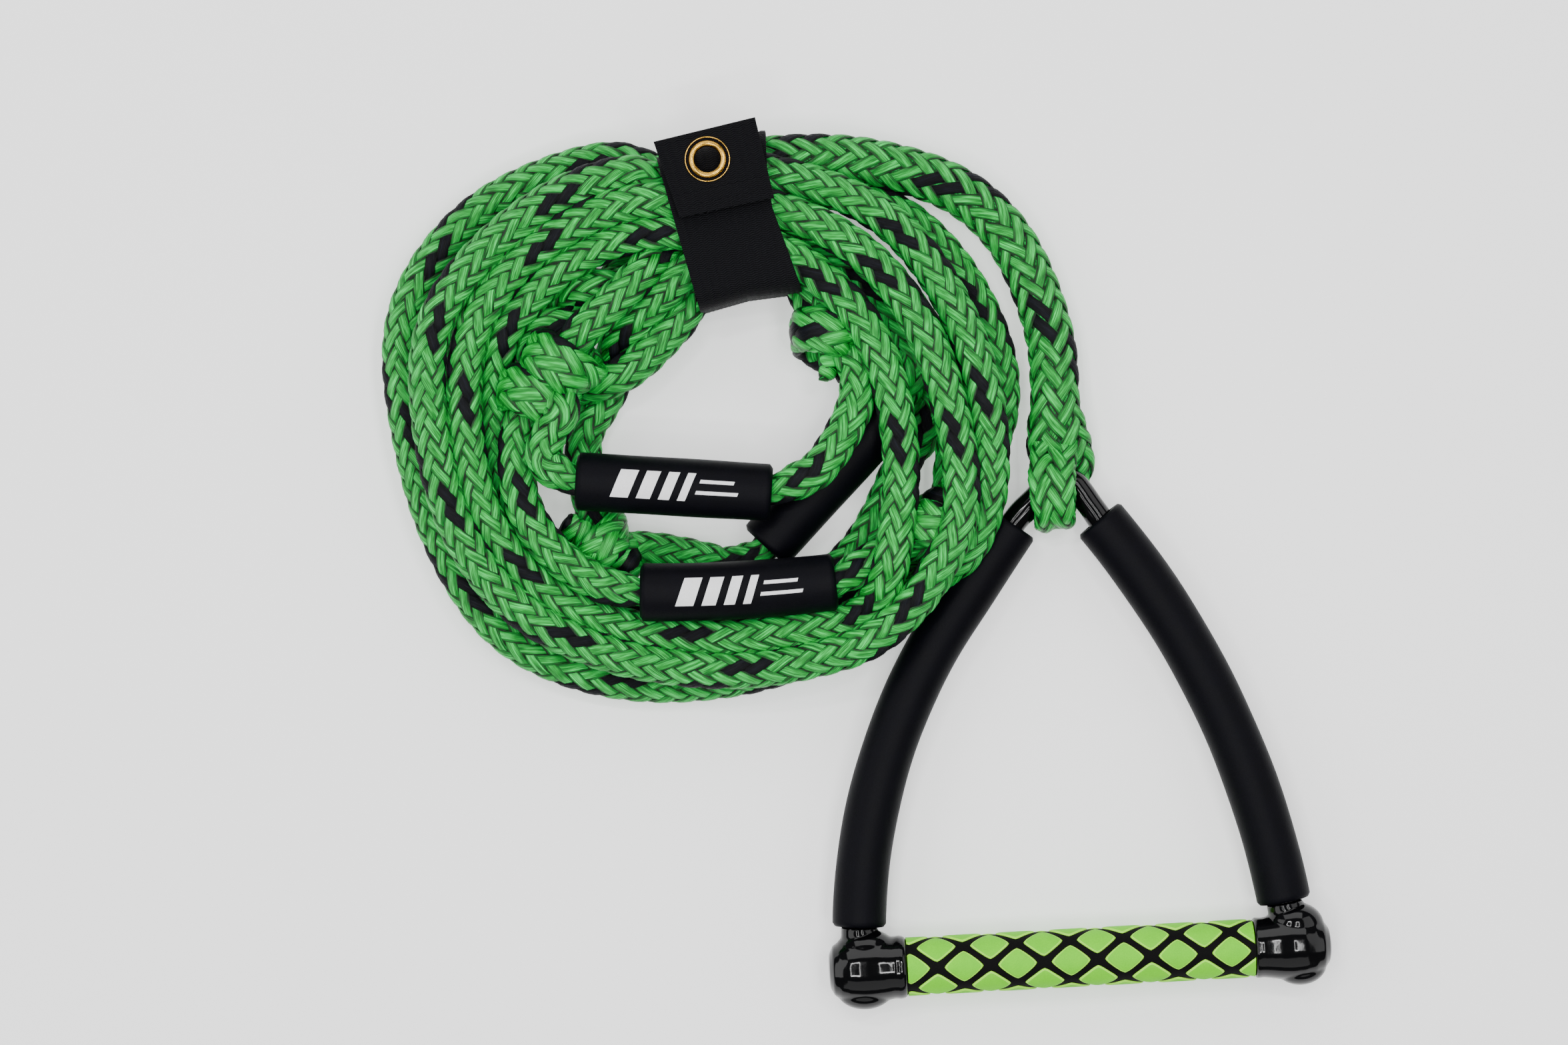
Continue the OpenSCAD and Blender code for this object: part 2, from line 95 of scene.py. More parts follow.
LEAD = [
    (5.5, 130, 5.6), (5.2, 138, 9), (3.6, 146, 14), (2.8, 156, 16.5), (2.8, 170, 17), (2.6, 194.9, 15),
    (-2.1, 218.8, 12), (-9.5, 239.4, 11), (-20.1, 260.2, 11), (-39.4, 278.1, 11.5), (-69.1, 289.8, 13),
    (-99, 296.5, 17), (-124, 297, 21)
]
LINE_1 = [
    (-181, 252, 29), (-205, 238, 32), (-229, 218, 33), (-246, 198, 31), (-249, 181, 33), (-254, 166, 34.5),
    (-255.5, 154, 36), (-251.5, 144.6, 36.8), (-240, 139.8, 37), (-143.5, 128.9, 37), (-131, 129.5, 38),
    (-116, 140.5, 38.5), (-102, 160, 38), (-93, 180, 34), (-98, 196, 29), (-110.6, 207.8, 26),
    (-124, 228.7, 25), (-147, 243, 20)
]
LINE_2 = [
    (-181, 255, 15), (-217, 240, 14), (-242, 222.5, 15), (-255, 203, 17), (-261, 184, 21), (-269.5, 163, 24),
    (-272, 142.4, 26), (-267, 121.9, 29), (-252.5, 101.5, 33), (-233, 88.5, 36), (-212.5, 82.7, 37),
    (-110, 82.6, 37), (-96, 88.5, 35), (-79, 99.5, 31), (-62, 107.4, 26), (-52, 127, 18),
    (-51, 167.6, 9), (-64, 214, 9), (-94, 251, 9), (-136, 267, 14)
]
LINE_3 = [
    (-178, 243, 22), (-197, 227, 24), (-210, 211, 22), (-224, 196, 15), (-235, 180, 9), (-239.5, 163, 9),
    (-238.5, 147, 9), (-233, 125, 12), (-229, 106.4, 17), (-210, 105, 12), (-182, 98, 9), (-167, 93.5, 11),
    (-155, 95.5, 14), (-147.5, 101.8, 15), (-77.5, 170.4, 15), (-70, 178, 15), (-66, 190, 17),
    (-75, 213, 20), (-99, 245, 22), (-140, 258, 24)
]
BOAT_LOOP = [
    (-168, 236, 24), (-181, 222, 24), (-194, 211, 22), (-212, 198, 18), (-228, 188, 14), (-244, 188, 11),
    (-256, 198, 10), (-257, 213, 11), (-246, 225, 14), (-226, 234, 16), (-197, 243, 17), (-178, 247, 17),
    (-163, 249, 18)
]

# Floats: start of the axis, heading in degrees, sideways bend at the middle
FLOAT_L = 98
FLOAT_R, FLOAT_BORE = 14.5, 8.6
ARM_R, ARM_BORE = 13.5, 8.2
FLOATS = {
    "float_1": ((-240, 139.8, 37), -6.47, 0.0),
    "float_2": ((-211, 82.5, 37), 0.0, -1.6),
    "float_3": ((-147.5, 101.8, 15), 44.4, 0.0),
}

# Knots: centre, size across, heading in degrees, number of wraps
KNOTS = {
    "knot_1a": ((-245.5, 198.5, 29), 41, 222, 1.15), "knot_1b": ((-110.6, 207.8, 25), 38, 245, 1.7),
    "knot_2a": ((-259, 184, 24.5), 40, 232, 1.15), "knot_2b": ((-62, 107.4, 25), 38, 50, 1.6),
    "knot_3a": ((-229, 106.4, 18), 34, 300, 1.8),
}


def polar(angle, r, z):
    a = math.radians(angle)
    return (COIL_C[0] + r * math.cos(a), COIL_C[1] + r * math.sin(a), z)


def spline(points, step):
    """Points every step along a smooth curve through the given ones (centripetal Catmull-Rom)."""
    p = np.array(points, float)
    p = np.vstack([2 * p[0] - p[1], p, 2 * p[-1] - p[-2]])
    out = []
    for i in range(1, len(p) - 2):
        p0, p1, p2, p3 = p[i - 1:i + 3]
        t1 = max(np.linalg.norm(p1 - p0), 1e-6) ** 0.5
        t2 = t1 + max(np.linalg.norm(p2 - p1), 1e-6) ** 0.5
        t3 = t2 + max(np.linalg.norm(p3 - p2), 1e-6) ** 0.5
        t = np.linspace(t1, t2, 24, endpoint=False)[:, None]
        a1 = (t1 - t) / t1 * p0 + t / t1 * p1
        a2 = (t2 - t) / (t2 - t1) * p1 + (t - t1) / (t2 - t1) * p2
        a3 = (t3 - t) / (t3 - t2) * p2 + (t - t2) / (t3 - t2) * p3
        b1 = (t2 - t) / t2 * a1 + t / t2 * a2
        b2 = (t3 - t) / (t3 - t1) * a2 + (t - t1) / (t3 - t1) * a3
        out.append((t2 - t) / (t2 - t1) * b1 + (t - t1) / (t2 - t1) * b2)
    out.append(p[-2][None])
    return resample(np.vstack(out), step)


def lengths(p):
    return np.concatenate([[0], np.cumsum(np.linalg.norm(np.diff(p, axis=0), axis=1))])


def resample(p, step):
    s = lengths(p)
    n = max(2, int(round(s[-1] / step)) + 1)
    t = np.linspace(0, s[-1], n)
    return np.stack([np.interp(t, s, p[:, k]) for k in range(3)], axis=1)


def eye_points():
    """The tail tucked in the throat, down the front of the bridle, round it, and up its back."""
    points = [(2.5, 151, 16.5), (1.0, 142.5, 19), (-1.0, 134.5, 25), (-1.7, 126, 28.5)]
    for a in range(90, 271, 30):
        r = math.radians(a)
        x = EYE_X + (a - 90) / 180 * EYE_DRIFT
        points.append((x, EYE_CENTRE[0] + EYE_R * math.cos(r), EYE_CENTRE[1] + EYE_R * math.sin(r)))
    return points


def whole_route():
    route = eye_points() + LEAD
    for radii, heights in TURNS:
        for k, (r, z) in enumerate(zip(radii, heights)):
            route.append(polar(START_ANGLE + k * ANGLE_STEP, r, z))
    return route + LINE_1 + LINE_2 + LINE_3 + BOAT_LOOP


def segment_push(p, a, b, radius):
    """How far each point must move to be clear of a capsule."""
    ab = b - a
    t = np.clip(((p - a) @ ab) / (ab @ ab), 0, 1)
    d = p - (a + t[:, None] * ab)
    dist = np.maximum(np.linalg.norm(d, axis=1), 1e-6)
    return d / dist[:, None] * np.maximum(radius - dist, 0)[:, None]


def float_axis(name):
    at, turn = FLOATS[name][:2]
    a = np.array(at, float)
    h = math.radians(turn)
    return a, a + FLOAT_L * np.array((math.cos(h), math.sin(h), 0))


STRAP_AT = np.array((-149.0, 226.5))
STRAP_LEAN = 12.8
STRAP_W, STRAP_T = 50, 1.8
BAND_L, BAND_H, BAND_R = 80, 50, 10
LEFT_ARM = [(-21.4, 106.4, 17), (-53.1, 63.4, 17), (-79, 19, 17), (-98, -32, 17)]

APART = 16.3                       # how far the middles of two turns are pushed apart
HEIGHT_FACTOR = 1.14               # the line lies flattened, so turns may be closer above each other
FLOAT_ROOM, ARM_ROOM, KNOT_ROOM = 8.2, 7.2, 3.5    # how far the line's middle keeps off each
LOWEST, HIGHEST = 7.6, 43          # heights that the line's middle keeps to
IN_BAND_Y, IN_BAND_Z = (12.5, BAND_L - 14), (8.5, BAND_H - 9.5)
RELAX_STEPS, MOST_MOVE = 150, 1.5


def relax(p):
    """Pushes the rope's turns apart to about a diameter, and off the floor, floats, arm and strap."""
    s = lengths(p)
    fixed = (s < 210) | (s > s[-1] - 12)
    on_float = {}
    for name in FLOATS:
        a, b = float_axis(name)
        u = (b - a) / np.linalg.norm(b - a)
        q = p - (a - 8 * u)
        t = q @ u
        off = np.linalg.norm(q - t[:, None] * u, axis=1)
        on_float[name] = (t > 0) & (t < FLOAT_L + 16) & (off < 5)
        fixed |= on_float[name]
    for at, *_ in KNOTS.values():
        fixed |= np.linalg.norm(p - np.array(at), axis=1) < 9
    target, q = p.copy(), p.copy()
    index = np.arange(len(p))
    near = np.abs(index[:, None] - index[None]) < 6
    lean = math.radians(STRAP_LEAN)
    ax, ay = np.array((math.cos(lean), math.sin(lean))), np.array((-math.sin(lean), math.cos(lean)))
    stretch = np.array((1, 1, HEIGHT_FACTOR))
    for _ in range(RELAX_STEPS):
        d = (q[:, None] - q[None]) * stretch
        dist = np.sqrt((d ** 2).sum(2)) + 1e-6
        push = np.where(near | (dist > APART), 0, (APART - dist) / dist)
        move = (d * push[:, :, None]).sum(1) * 0.32
        for name in FLOATS:
            a, b = float_axis(name)
            m = segment_push(q, a, b, FLOAT_R + FLOAT_ROOM)
            move += np.where(on_float[name][:, None], 0, m) * 0.5
        for a, b in zip(LEFT_ARM, LEFT_ARM[1:]):
            move += segment_push(q, np.array(a, float), np.array(b, float), ARM_R + ARM_ROOM) * 0.5
        for at, size, *_ in KNOTS.values():
            c = np.array(at, float)
            v = q - c
            r = np.linalg.norm(v, axis=1) + 1e-6
            m = v / r[:, None] * np.maximum(size / 2 + KNOT_ROOM - r, 0)[:, None]
            move += np.where((r < 12)[:, None], 0, m) * 0.35
        move += (target - q) * 0.03
        move = np.clip(move, -MOST_MOVE, MOST_MOVE)
        move[fixed] = 0
        q = q + move
        smooth = (np.roll(q, 1, 0) + np.roll(q, -1, 0)) / 2
        smooth[0], smooth[-1] = q[0], q[-1]
        q = np.where(fixed[:, None], q, q + (smooth - q) * 0.25)
        local = q[:, :2] - STRAP_AT
        lx, ly = local @ ax, local @ ay
        inside = (np.abs(lx) < STRAP_W / 2 + 4) & (ly > -5) & (ly < BAND_L + 8) & ~fixed
        clamped = np.clip(ly, *IN_BAND_Y)
        q[:, :2] += np.where(inside, clamped - ly, 0)[:, None] * ay * 0.5
        q[:, 2] = np.where(inside, np.clip(q[:, 2], *IN_BAND_Z), q[:, 2])
        q[:, 2] = np.clip(q[:, 2], np.where(fixed, q[:, 2], LOWEST), HIGHEST)
    return q


def section_at(p):
    """Half width and half height of the rope at every point: eye, throat, splice, then the line."""
    s = lengths(p)
    eye, lead, turn = EYE_W / 2, LEAD_W / 2, LINE_W / 2
    flat, full = EYE_H / 2, LEAD_H / 2
    at = [0, 32, 44, 66, 78, 86, 96, 108, 127, 330, 400]
    wide = [eye, eye, eye - 1.6, eye - 1.6, eye, eye + 3, eye + 4.6, lead + 4.4, lead + 0.3, lead, turn]
    high = [flat, flat, flat, flat, flat, flat + 0.6, full - 1.4, full, full, full, LINE_H / 2]
    a, b = np.interp(s, at, wide), np.interp(s, at, high)
    for name in FLOATS:
        start, end = float_axis(name)
        u = (end - start) / FLOAT_L
        q = p - start
        t = q @ u
        off = np.linalg.norm(q - t[:, None] * u, axis=1)
        k = np.clip(1 - np.maximum(np.abs(t - FLOAT_L / 2) - FLOAT_L / 2 - 2, 0) / 9, 0, 1) * (off < 9)
        a = a + (IN_FLOAT_W - a) * k
        b = b + (IN_FLOAT_H - b) * k
    return a, b


# ---------------------------------------------------------------- mesh helpers
def mesh_object(name, verts, faces, materials, body, uvs=None, face_materials=None):
    """A mesh from points in millimetres, riding on a body."""
    mesh = bpy.data.meshes.new(name)
    points = [tuple(v) for v in np.asarray(verts) * MM]
    mesh.from_pydata(points, [], [tuple(int(i) for i in f) for f in faces])
    if uvs is not None:
        layer = mesh.uv_layers.new(name="UVMap")
        loops = np.empty(len(mesh.loops), int)
        mesh.loops.foreach_get("vertex_index", loops)
        layer.data.foreach_set("uv", np.asarray(uvs, np.float32)[loops].ravel())
    for material in (materials if isinstance(materials, (list, tuple)) else [materials]):
        mesh.materials.append(material)
    if face_materials is not None:
        mesh.polygons.foreach_set("material_index", np.asarray(face_materials, np.int32))
    mesh.polygons.foreach_set("use_smooth", [True] * len(mesh.polygons))
    mesh.update()
    obj = bpy.data.objects.new(name, mesh)
    bpy.context.scene.collection.objects.link(obj)
    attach(obj, body)
    return obj


def apply_modifiers(obj):
    graph = bpy.context.evaluated_depsgraph_get()
    mesh = bpy.data.meshes.new_from_object(obj.evaluated_get(graph))
    obj.modifiers.clear()
    obj.data = mesh


def clean(obj):
    """Joins points that coincide and drops faces with no area."""
    work = bmesh.new()
    work.from_mesh(obj.data)
    bmesh.ops.remove_doubles(work, verts=work.verts, dist=0.02 * MM)
    bmesh.ops.dissolve_degenerate(work, edges=work.edges, dist=0.01 * MM)
    bmesh.ops.recalc_face_normals(work, faces=work.faces)
    work.to_mesh(obj.data)
    work.free()


def frames_along(p):
    """Tangent, side and up vectors. The side stays level, and turns smoothly where the path is upright."""
    t = np.gradient(p, axis=0)
    t /= np.linalg.norm(t, axis=1)[:, None]
    side = np.zeros_like(t)
    last = np.array((-1.0, 0, 0))
    for i in range(len(p)):
        carried = last - t[i] * (last @ t[i])
        level = np.cross(t[i], (0, 0, 1))
        size = np.linalg.norm(level)
        if size > 1e-6:
            level = level / size * (1 if level @ carried >= 0 else -1)
            carried = carried / np.linalg.norm(carried) * (1 - size ** 2 * 0.7) + level * size ** 2 * 0.7
        last = carried / np.linalg.norm(carried)
        side[i] = last
    side -= t * (side * t).sum(1)[:, None]
    side /= np.linalg.norm(side, axis=1)[:, None]
    return t, side, np.cross(side, t)


def wall_faces(rings, sides, flipped=False):
    """The quads between rings of points, each ring closed on itself."""
    faces = []
    for i in range(rings - 1):
        for k in range(sides):
            n = (k + 1) % sides
            a, b, c, d = i * sides + k, i * sides + n, (i + 1) * sides + n, (i + 1) * sides + k
            faces.append((a, d, c, b) if flipped else (a, b, c, d))
    return faces


def tube(p, a, b, sides=14):
    """Rings of an oval section along a path, closed by a flat face at each end."""
    _, side, up = frames_along(p)
    ang = np.arange(sides) * 2 * math.pi / sides
    a, b = np.broadcast_to(a, len(p)), np.broadcast_to(b, len(p))
    rings = (p[:, None] + side[:, None] * (np.cos(ang)[None, :, None] * a[:, None, None])
             + up[:, None] * (np.sin(ang)[None, :, None] * b[:, None, None]))
    faces = wall_faces(len(p), sides)
    faces.append(tuple(range(sides - 1, -1, -1)))
    faces.append(tuple((len(p) - 1) * sides + k for k in range(sides)))
    return rings.reshape(-1, 3), faces


def lathe(profile, sides):
    """A closed ring of points (distance from the axis, position along it) turned about +X."""
    m = len(profile)
    verts, faces = [], []
    for i in range(sides):
        a = i * 2 * math.pi / sides
        verts += [(x, r * math.cos(a), r * math.sin(a)) for r, x in profile]
    for i in range(sides):
        j = (i + 1) % sides
        faces += [(i * m + k, j * m + k, j * m + (k + 1) % m, i * m + (k + 1) % m) for k in range(m)]
    return np.array(verts, float), faces


def rounded(points, radius, steps=5):
    """A closed outline with its corners rounded by short arcs."""
    p = [np.array(q, float) for q in points]
    out = []
    for i, q in enumerate(p):
        before, after = p[i - 1], p[(i + 1) % len(p)]
        u, v = before - q, after - q
        lu, lv = np.linalg.norm(u), np.linalg.norm(v)
        r = min(radius, lu * 0.45, lv * 0.45)
        a, b = q + u / lu * r, q + v / lv * r
        for k in range(steps + 1):
            w = k / steps
            out.append((1 - w) ** 2 * a + 2 * w * (1 - w) * q + w * w * b)
    return out


# ---------------------------------------------------------------- materials
def new_material(name, color, roughness, **sockets):
    material = bpy.data.materials.new(name)
    material.use_nodes = True
    shader = material.node_tree.nodes["Principled BSDF"]
    shader.inputs["Base Color"].default_value = (*color, 1)
    shader.inputs["Roughness"].default_value = roughness
    for key, value in sockets.items():
        shader.inputs[key.replace("_", " ")].default_value = value
    return material, material.node_tree.nodes, material.node_tree.links, shader


def noise(nodes, links, vector, scale, detail=2.0, rough=0.5):
    node = nodes.new("ShaderNodeTexNoise")
    node.inputs["Scale"].default_value = scale
    node.inputs["Detail"].default_value = detail
    node.inputs["Roughness"].default_value = rough
    links.new(vector, node.inputs["Vector"])
    return node.outputs["Fac"]


def stretched(nodes, links, source, scale):
    node = nodes.new("ShaderNodeMapping")
    node.inputs["Scale"].default_value = scale
    links.new(source, node.inputs["Vector"])
    return node.outputs["Vector"]


def ramp(nodes, links, value, stops):
    node = nodes.new("ShaderNodeValToRGB")
    element = node.color_ramp.elements
    while len(element) < len(stops):
        element.new(0.5)
    for e, (at, color) in zip(element, stops):
        e.position = at
        e.color = (*color, 1)
    links.new(value, node.inputs["Fac"])
    return node.outputs["Color"]


def bump(nodes, links, shader, height, strength, distance):
    node = nodes.new("ShaderNodeBump")
    node.inputs["Strength"].default_value = strength
    node.inputs["Distance"].default_value = distance
    links.new(height, node.inputs["Height"])
    links.new(node.outputs["Normal"], shader.inputs["Normal"])


def math_node(nodes, links, operation, a, b):
    node = nodes.new("ShaderNodeMath")
    node.operation = operation
    for socket, value in zip(node.inputs, (a, b)):
        if isinstance(value, (int, float)):
            socket.default_value = value
        else:
            links.new(value, socket)
    return node.outputs["Value"]


def filament_material(name, dark, mid, light, roughness, level):
    """Flat glossy filaments side by side: fine lines along each strand, and painted shade that darkens each
    strand towards its edges, where it dips under the others.
    """
    material, nodes, links, shader = new_material(name, mid, roughness, Anisotropic=0.75,
                                                  Specular_IOR_Level=level)
    calc = partial(math_node, nodes, links)
    tangent = nodes.new("ShaderNodeTangent")
    tangent.direction_type = "UV_MAP"
    links.new(tangent.outputs["Tangent"], shader.inputs["Tangent"])
    uv = nodes.new("ShaderNodeUVMap").outputs["UV"]
    lines = noise(nodes, links, stretched(nodes, links, uv, (26, 0.05, 1)), 1.0, 3.0, 0.6)
    broad = noise(nodes, links, stretched(nodes, links, uv, (5, 0.12, 1)), 1.0, 2.0)
    both = calc("ADD", calc("MULTIPLY", lines, 0.6), calc("MULTIPLY", broad, 0.4))
    split = nodes.new("ShaderNodeSeparateXYZ")
    links.new(uv, split.inputs["Vector"])
    # Painted shade: the colour is darkened towards each strand's edges, where it dips under the strands of
    # the other way.
    inner = calc("PINGPONG", split.outputs["X"], 0.5)
    edge = calc("SUBTRACT", 1.0, calc("MULTIPLY", inner, 3.6))
    edge = calc("MULTIPLY", calc("MAXIMUM", edge, 0.0), 0.19)
    both = calc("SUBTRACT", both, edge)
    color = ramp(nodes, links, both, [(0.35, dark), (0.49, mid), (0.63, light)])
    links.new(color, shader.inputs["Base Color"])
    bump(nodes, links, shader, lines, 0.7, 0.0007)
    return material


def speckled(name, dark, light, roughness, scale, strength, distance, **sockets):
    """Fine-pored or fine-grained surface, from object space."""
    material, nodes, links, shader = new_material(name, light, roughness, **sockets)
    calc = partial(math_node, nodes, links)
    place = nodes.new("ShaderNodeTexCoord").outputs["Object"]
    fine = noise(nodes, links, place, scale, 4.0, 0.65)
    wide = noise(nodes, links, place, scale / 14, 3.0)
    mix = calc("ADD", calc("MULTIPLY", fine, 0.65), calc("MULTIPLY", wide, 0.35))
    links.new(ramp(nodes, links, mix, [(0.32, dark), (0.68, light)]), shader.inputs["Base Color"])
    rough = nodes.new("ShaderNodeMapRange")
    rough.inputs["To Min"].default_value = roughness * 0.85
    rough.inputs["To Max"].default_value = min(1, roughness * 1.15)
    links.new(wide, rough.inputs["Value"])
    links.new(rough.outputs["Result"], shader.inputs["Roughness"])
    bump(nodes, links, shader, fine, strength, distance)
    return material


ROPE_GREEN = filament_material("rope_green", (0.0, 0.010, 0.0005), (0.0, 0.30, 0.024), (0.02, 0.86, 0.14),
                               0.36, 0.32)
ROPE_BLACK = filament_material("rope_tracer", (0.0004, 0.0006, 0.001), (0.0012, 0.0015, 0.003),
                               (0.006, 0.007, 0.013), 0.42, 0.15)
# The core tube's dark green is painted shade, seen in the gaps between the strands of the hollow braid.
ROPE_CORE_SHADE = speckled("rope_core_painted_shade", (0.002, 0.03, 0.008), (0.005, 0.08, 0.02), 0.7, 900, 0.3, 0.0003)
FOAM = speckled("foam", (0.0008, 0.0008, 0.0016), (0.0018, 0.0018, 0.004), 0.5, 1500, 0.4, 0.0002,
                Specular_IOR_Level=0.07)
GRIP_LIME = speckled("grip_lime", (0.11, 0.54, 0.0), (0.16, 0.68, 0.0), 0.62, 1700, 0.35, 0.0003,
                     Specular_IOR_Level=0.2)
GRIP_RIM = speckled("grip_rim", (0.28, 0.80, 0.02), (0.36, 0.90, 0.04), 0.55, 1700, 0.3, 0.0003,
                    Specular_IOR_Level=0.3)
GRIP_BLACK = speckled("grip_black", (0.001, 0.001, 0.001), (0.003, 0.003, 0.003), 0.7,
                      1700, 0.45, 0.0003, Specular_IOR_Level=0.08)
GLOSS_DARK, GLOSS_LIGHT = (0.0012, 0.0012, 0.0015), (0.0016, 0.0016, 0.002)
DIPPED = speckled("dipped_rubber", GLOSS_DARK, GLOSS_LIGHT, 0.09, 160, 0.06, 0.0005,
                  Specular_IOR_Level=0.25, Coat_Weight=0.1, Coat_Roughness=0.04)
SHEATH = speckled("sheath_gloss", GLOSS_DARK, GLOSS_LIGHT, 0.10, 220, 0.10, 0.0004,
                  Specular_IOR_Level=0.25, Coat_Weight=0.1, Coat_Roughness=0.05)
PRINT_WHITE = speckled("print_white", (0.70, 0.70, 0.71), (0.86, 0.86, 0.87), 0.6, 1500, 0.4, 0.0002)
ALUMINIUM = speckled("bar_aluminium", (0.5, 0.51, 0.53), (0.74, 0.75, 0.77), 0.35, 900, 0.1, 0.0001,
                     Metallic=1)
PLUG = speckled("plug_plastic", (0.02, 0.02, 0.022), (0.05, 0.05, 0.055), 0.5, 700, 0.2, 0.0002)
HOOKS = speckled("hook_and_loop", (0.004, 0.004, 0.005), (0.02, 0.02, 0.022), 0.9, 2500, 0.9, 0.0006,
                 Sheen_Weight=0.4)
BRASS = speckled("brass", (0.50, 0.28, 0.035), (0.72, 0.44, 0.085), 0.24, 400, 0.05, 0.0001,
                 Metallic=1)
BRIDLE_CORE = speckled("bridle_core", (0.004, 0.004, 0.005), (0.02, 0.02, 0.024), 0.5,
                       900, 0.6, 0.0005)


def webbing_material():
    """Ribs along the strap with a fine herringbone of the weft between them."""
    material, nodes, links, shader = new_material("webbing", (0.002, 0.002, 0.003), 0.6,
                                                  Specular_IOR_Level=0.09)
    calc = partial(math_node, nodes, links)
    uv = nodes.new("ShaderNodeUVMap").outputs["UV"]
    split = nodes.new("ShaderNodeSeparateXYZ")
    links.new(uv, split.inputs["Vector"])
    u, v = split.outputs["X"], split.outputs["Y"]
    ribs = calc("PINGPONG", u, 1.0)
    slant = calc("ADD", v, calc("MULTIPLY", ribs, 0.9))
    weft = calc("SINE", calc("MULTIPLY", slant, 2 * math.pi / 1.1), 0)
    weft = calc("MULTIPLY", calc("ADD", weft, 1.0), 0.5)
    fine = noise(nodes, links, uv, 3.0, 3.0)
    height = calc("ADD", weft, calc("MULTIPLY", fine, 0.5))
    links.new(ramp(nodes, links, height, [(0.15, (0.0003, 0.0003, 0.0006)), (1.0, (0.007, 0.007, 0.009))]),
              shader.inputs["Base Color"])
    bump(nodes, links, shader, height, 0.9, 0.0006)
    return material


WEBBING = webbing_material()


# ---------------------------------------------------------------- braided rope
CARRIERS = 8                       # strands wound each way
LAY = 92                           # length of one strand's full turn
TRACERS = (7, 0)                   # strands of the first direction that are black
STRAND_T = 1.7                     # how far the strands stand over the core
OVAL = np.linspace(0, 2 * math.pi, 721)
OVAL_W, OVAL_H = 10, 7.3           # an oval of the line's proportions, to space the strands round it
OVAL_STEPS = np.hypot(np.diff(OVAL_W * np.cos(OVAL)), np.diff(OVAL_H * np.sin(OVAL)))
OVAL_S = np.concatenate([[0], np.cumsum(OVAL_STEPS)])
OVAL_S /= OVAL_S[-1]


def strand(path, a, b, index, way, lay, width, hidden, step, rise, groove):
    """One flat strand of the braid, two over and two under the strands of the other way."""
    s_path = lengths(path)
    _, side, up = frames_along(path)
    frame9 = np.hstack([path, side, up])
    s = np.arange(0, s_path[-1], step)
    q = index / CARRIERS + way * s / lay
    half_a, half_b = np.interp(s, s_path, a), np.interp(s, s_path, b)
    around = 2 * math.pi * np.sqrt((half_a ** 2 + half_b ** 2) / 2)
    slope = np.arctan(around / lay)
    u = way * 16 * s / lay + 2 * index
    wave = np.cos(2 * math.pi * (u - 0.5) / 4)
    lift = way * np.sign(wave) * np.abs(wave) ** 0.55 * rise
    across = np.array((-1.0, -0.62, 0.0, 0.62, 1.0))
    crown = np.array((-0.55, 0.10, 0.26, 0.10, -0.55))
    half = width / 2
    s2 = s[:, None] - across[None] * half * np.sin(slope)[:, None] * way
    q2 = q[:, None] + across[None] * half * np.cos(slope)[:, None] / around[:, None]
    phi = np.interp(np.mod(q2, 1), OVAL_S, OVAL)
    at = np.clip(s2, 0, s_path[-1]).ravel()
    vals = np.stack([np.interp(at, s_path, column) for column in frame9.T], axis=1).reshape(*s2.shape, 9)
    c, sd, upv = vals[..., :3], vals[..., 3:6], vals[..., 6:]
    core_a, core_b = half_a[:, None] - STRAND_T, half_b[:, None] - STRAND_T
    cos, sin = np.cos(phi), np.sin(phi)
    n_a, n_b = cos / core_a, sin / core_b
    size = np.sqrt(n_a ** 2 + n_b ** 2)
    height = lift[:, None] + crown[None] + STRAND_T * 0.35
    if groove is not None:
        height = height - np.interp(s, s_path, groove)[:, None] * np.exp(-(cos / 0.34) ** 2)
    out_a = core_a * cos + n_a / size * height
    out_b = core_b * sin + n_b / size * height
    verts = c + sd * out_a[..., None] + upv * out_b[..., None]
    show = ~np.interp(s, s_path, hidden.astype(float)).astype(bool)
    m = len(across)
    faces = []
    uvs = np.stack([np.broadcast_to(across * 0.5 + 0.5 + index * 4, s2.shape), s2], axis=2).reshape(-1, 2)
    for i in range(len(s) - 1):
        if show[i] and show[i + 1]:
            faces += [(i * m + k, (i + 1) * m + k, (i + 1) * m + k + 1, i * m + k + 1) for k in range(m - 1)]
    if way < 0:
        faces = [f[::-1] for f in faces]
    return verts.reshape(-1, 3), faces, uvs


def braid(name, path, a, b, lay=LAY, width=6.3, hidden=None, step=2.3, rise=0.85, pieces=1, plain_until=0,
          groove=None):
    """All the strands of a rope: green pieces, and one of the tracers, which are green up to plain_until."""
    hidden = np.zeros(len(path), bool) if hidden is None else hidden
    made = []
    jobs = {f"{name}_tracer": [(k, 1) for k in TRACERS]}
    green = [(k, 1) for k in range(CARRIERS) if k not in TRACERS] + [(k, -1) for k in range(CARRIERS)]
    for part in range(pieces):
        jobs[f"{name}_strands_{part + 1}" if pieces > 1 else f"{name}_strands"] = green[part::pieces]
    for title, strands in jobs.items():
        verts, faces, uvs, base = [], [], [], 0
        for index, way in strands:
            v, f, uv = strand(path, a, b, index, way, lay, width, hidden, step, rise, groove)
            faces += [tuple(i + base for i in face) for face in f]
            verts.append(v)
            uvs.append(uv)
            base += len(v)
        verts, uvs = np.vstack(verts), np.vstack(uvs)
        used = np.unique(np.array(faces).ravel())
        renumber = np.zeros(len(verts), int)
        renumber[used] = np.arange(len(used))
        faces = renumber[np.array(faces)]
        tracer = title.endswith("tracer")
        kinds = (uvs[used][faces[:, 0], 1] < plain_until).astype(int) if tracer else None
        materials = [ROPE_BLACK, ROPE_GREEN] if tracer else [ROPE_GREEN]
        made.append(mesh_object(title, verts[used], faces, materials, "main_line",
                                uvs=uvs[used], face_materials=kinds))
    return made


EYE_FLAT = [0, 60, 78]             # lengths where the eye's groove starts, starts to fade and is gone
STRAND_GROOVE, CORE_GROOVE = 2.0, 1.7
PLAIN_UNTIL = 96                   # the eye shows no black
CORE_GAP, CORE_MOST, CORE_IN_FLOAT = 0.4, 12.7, 6.2

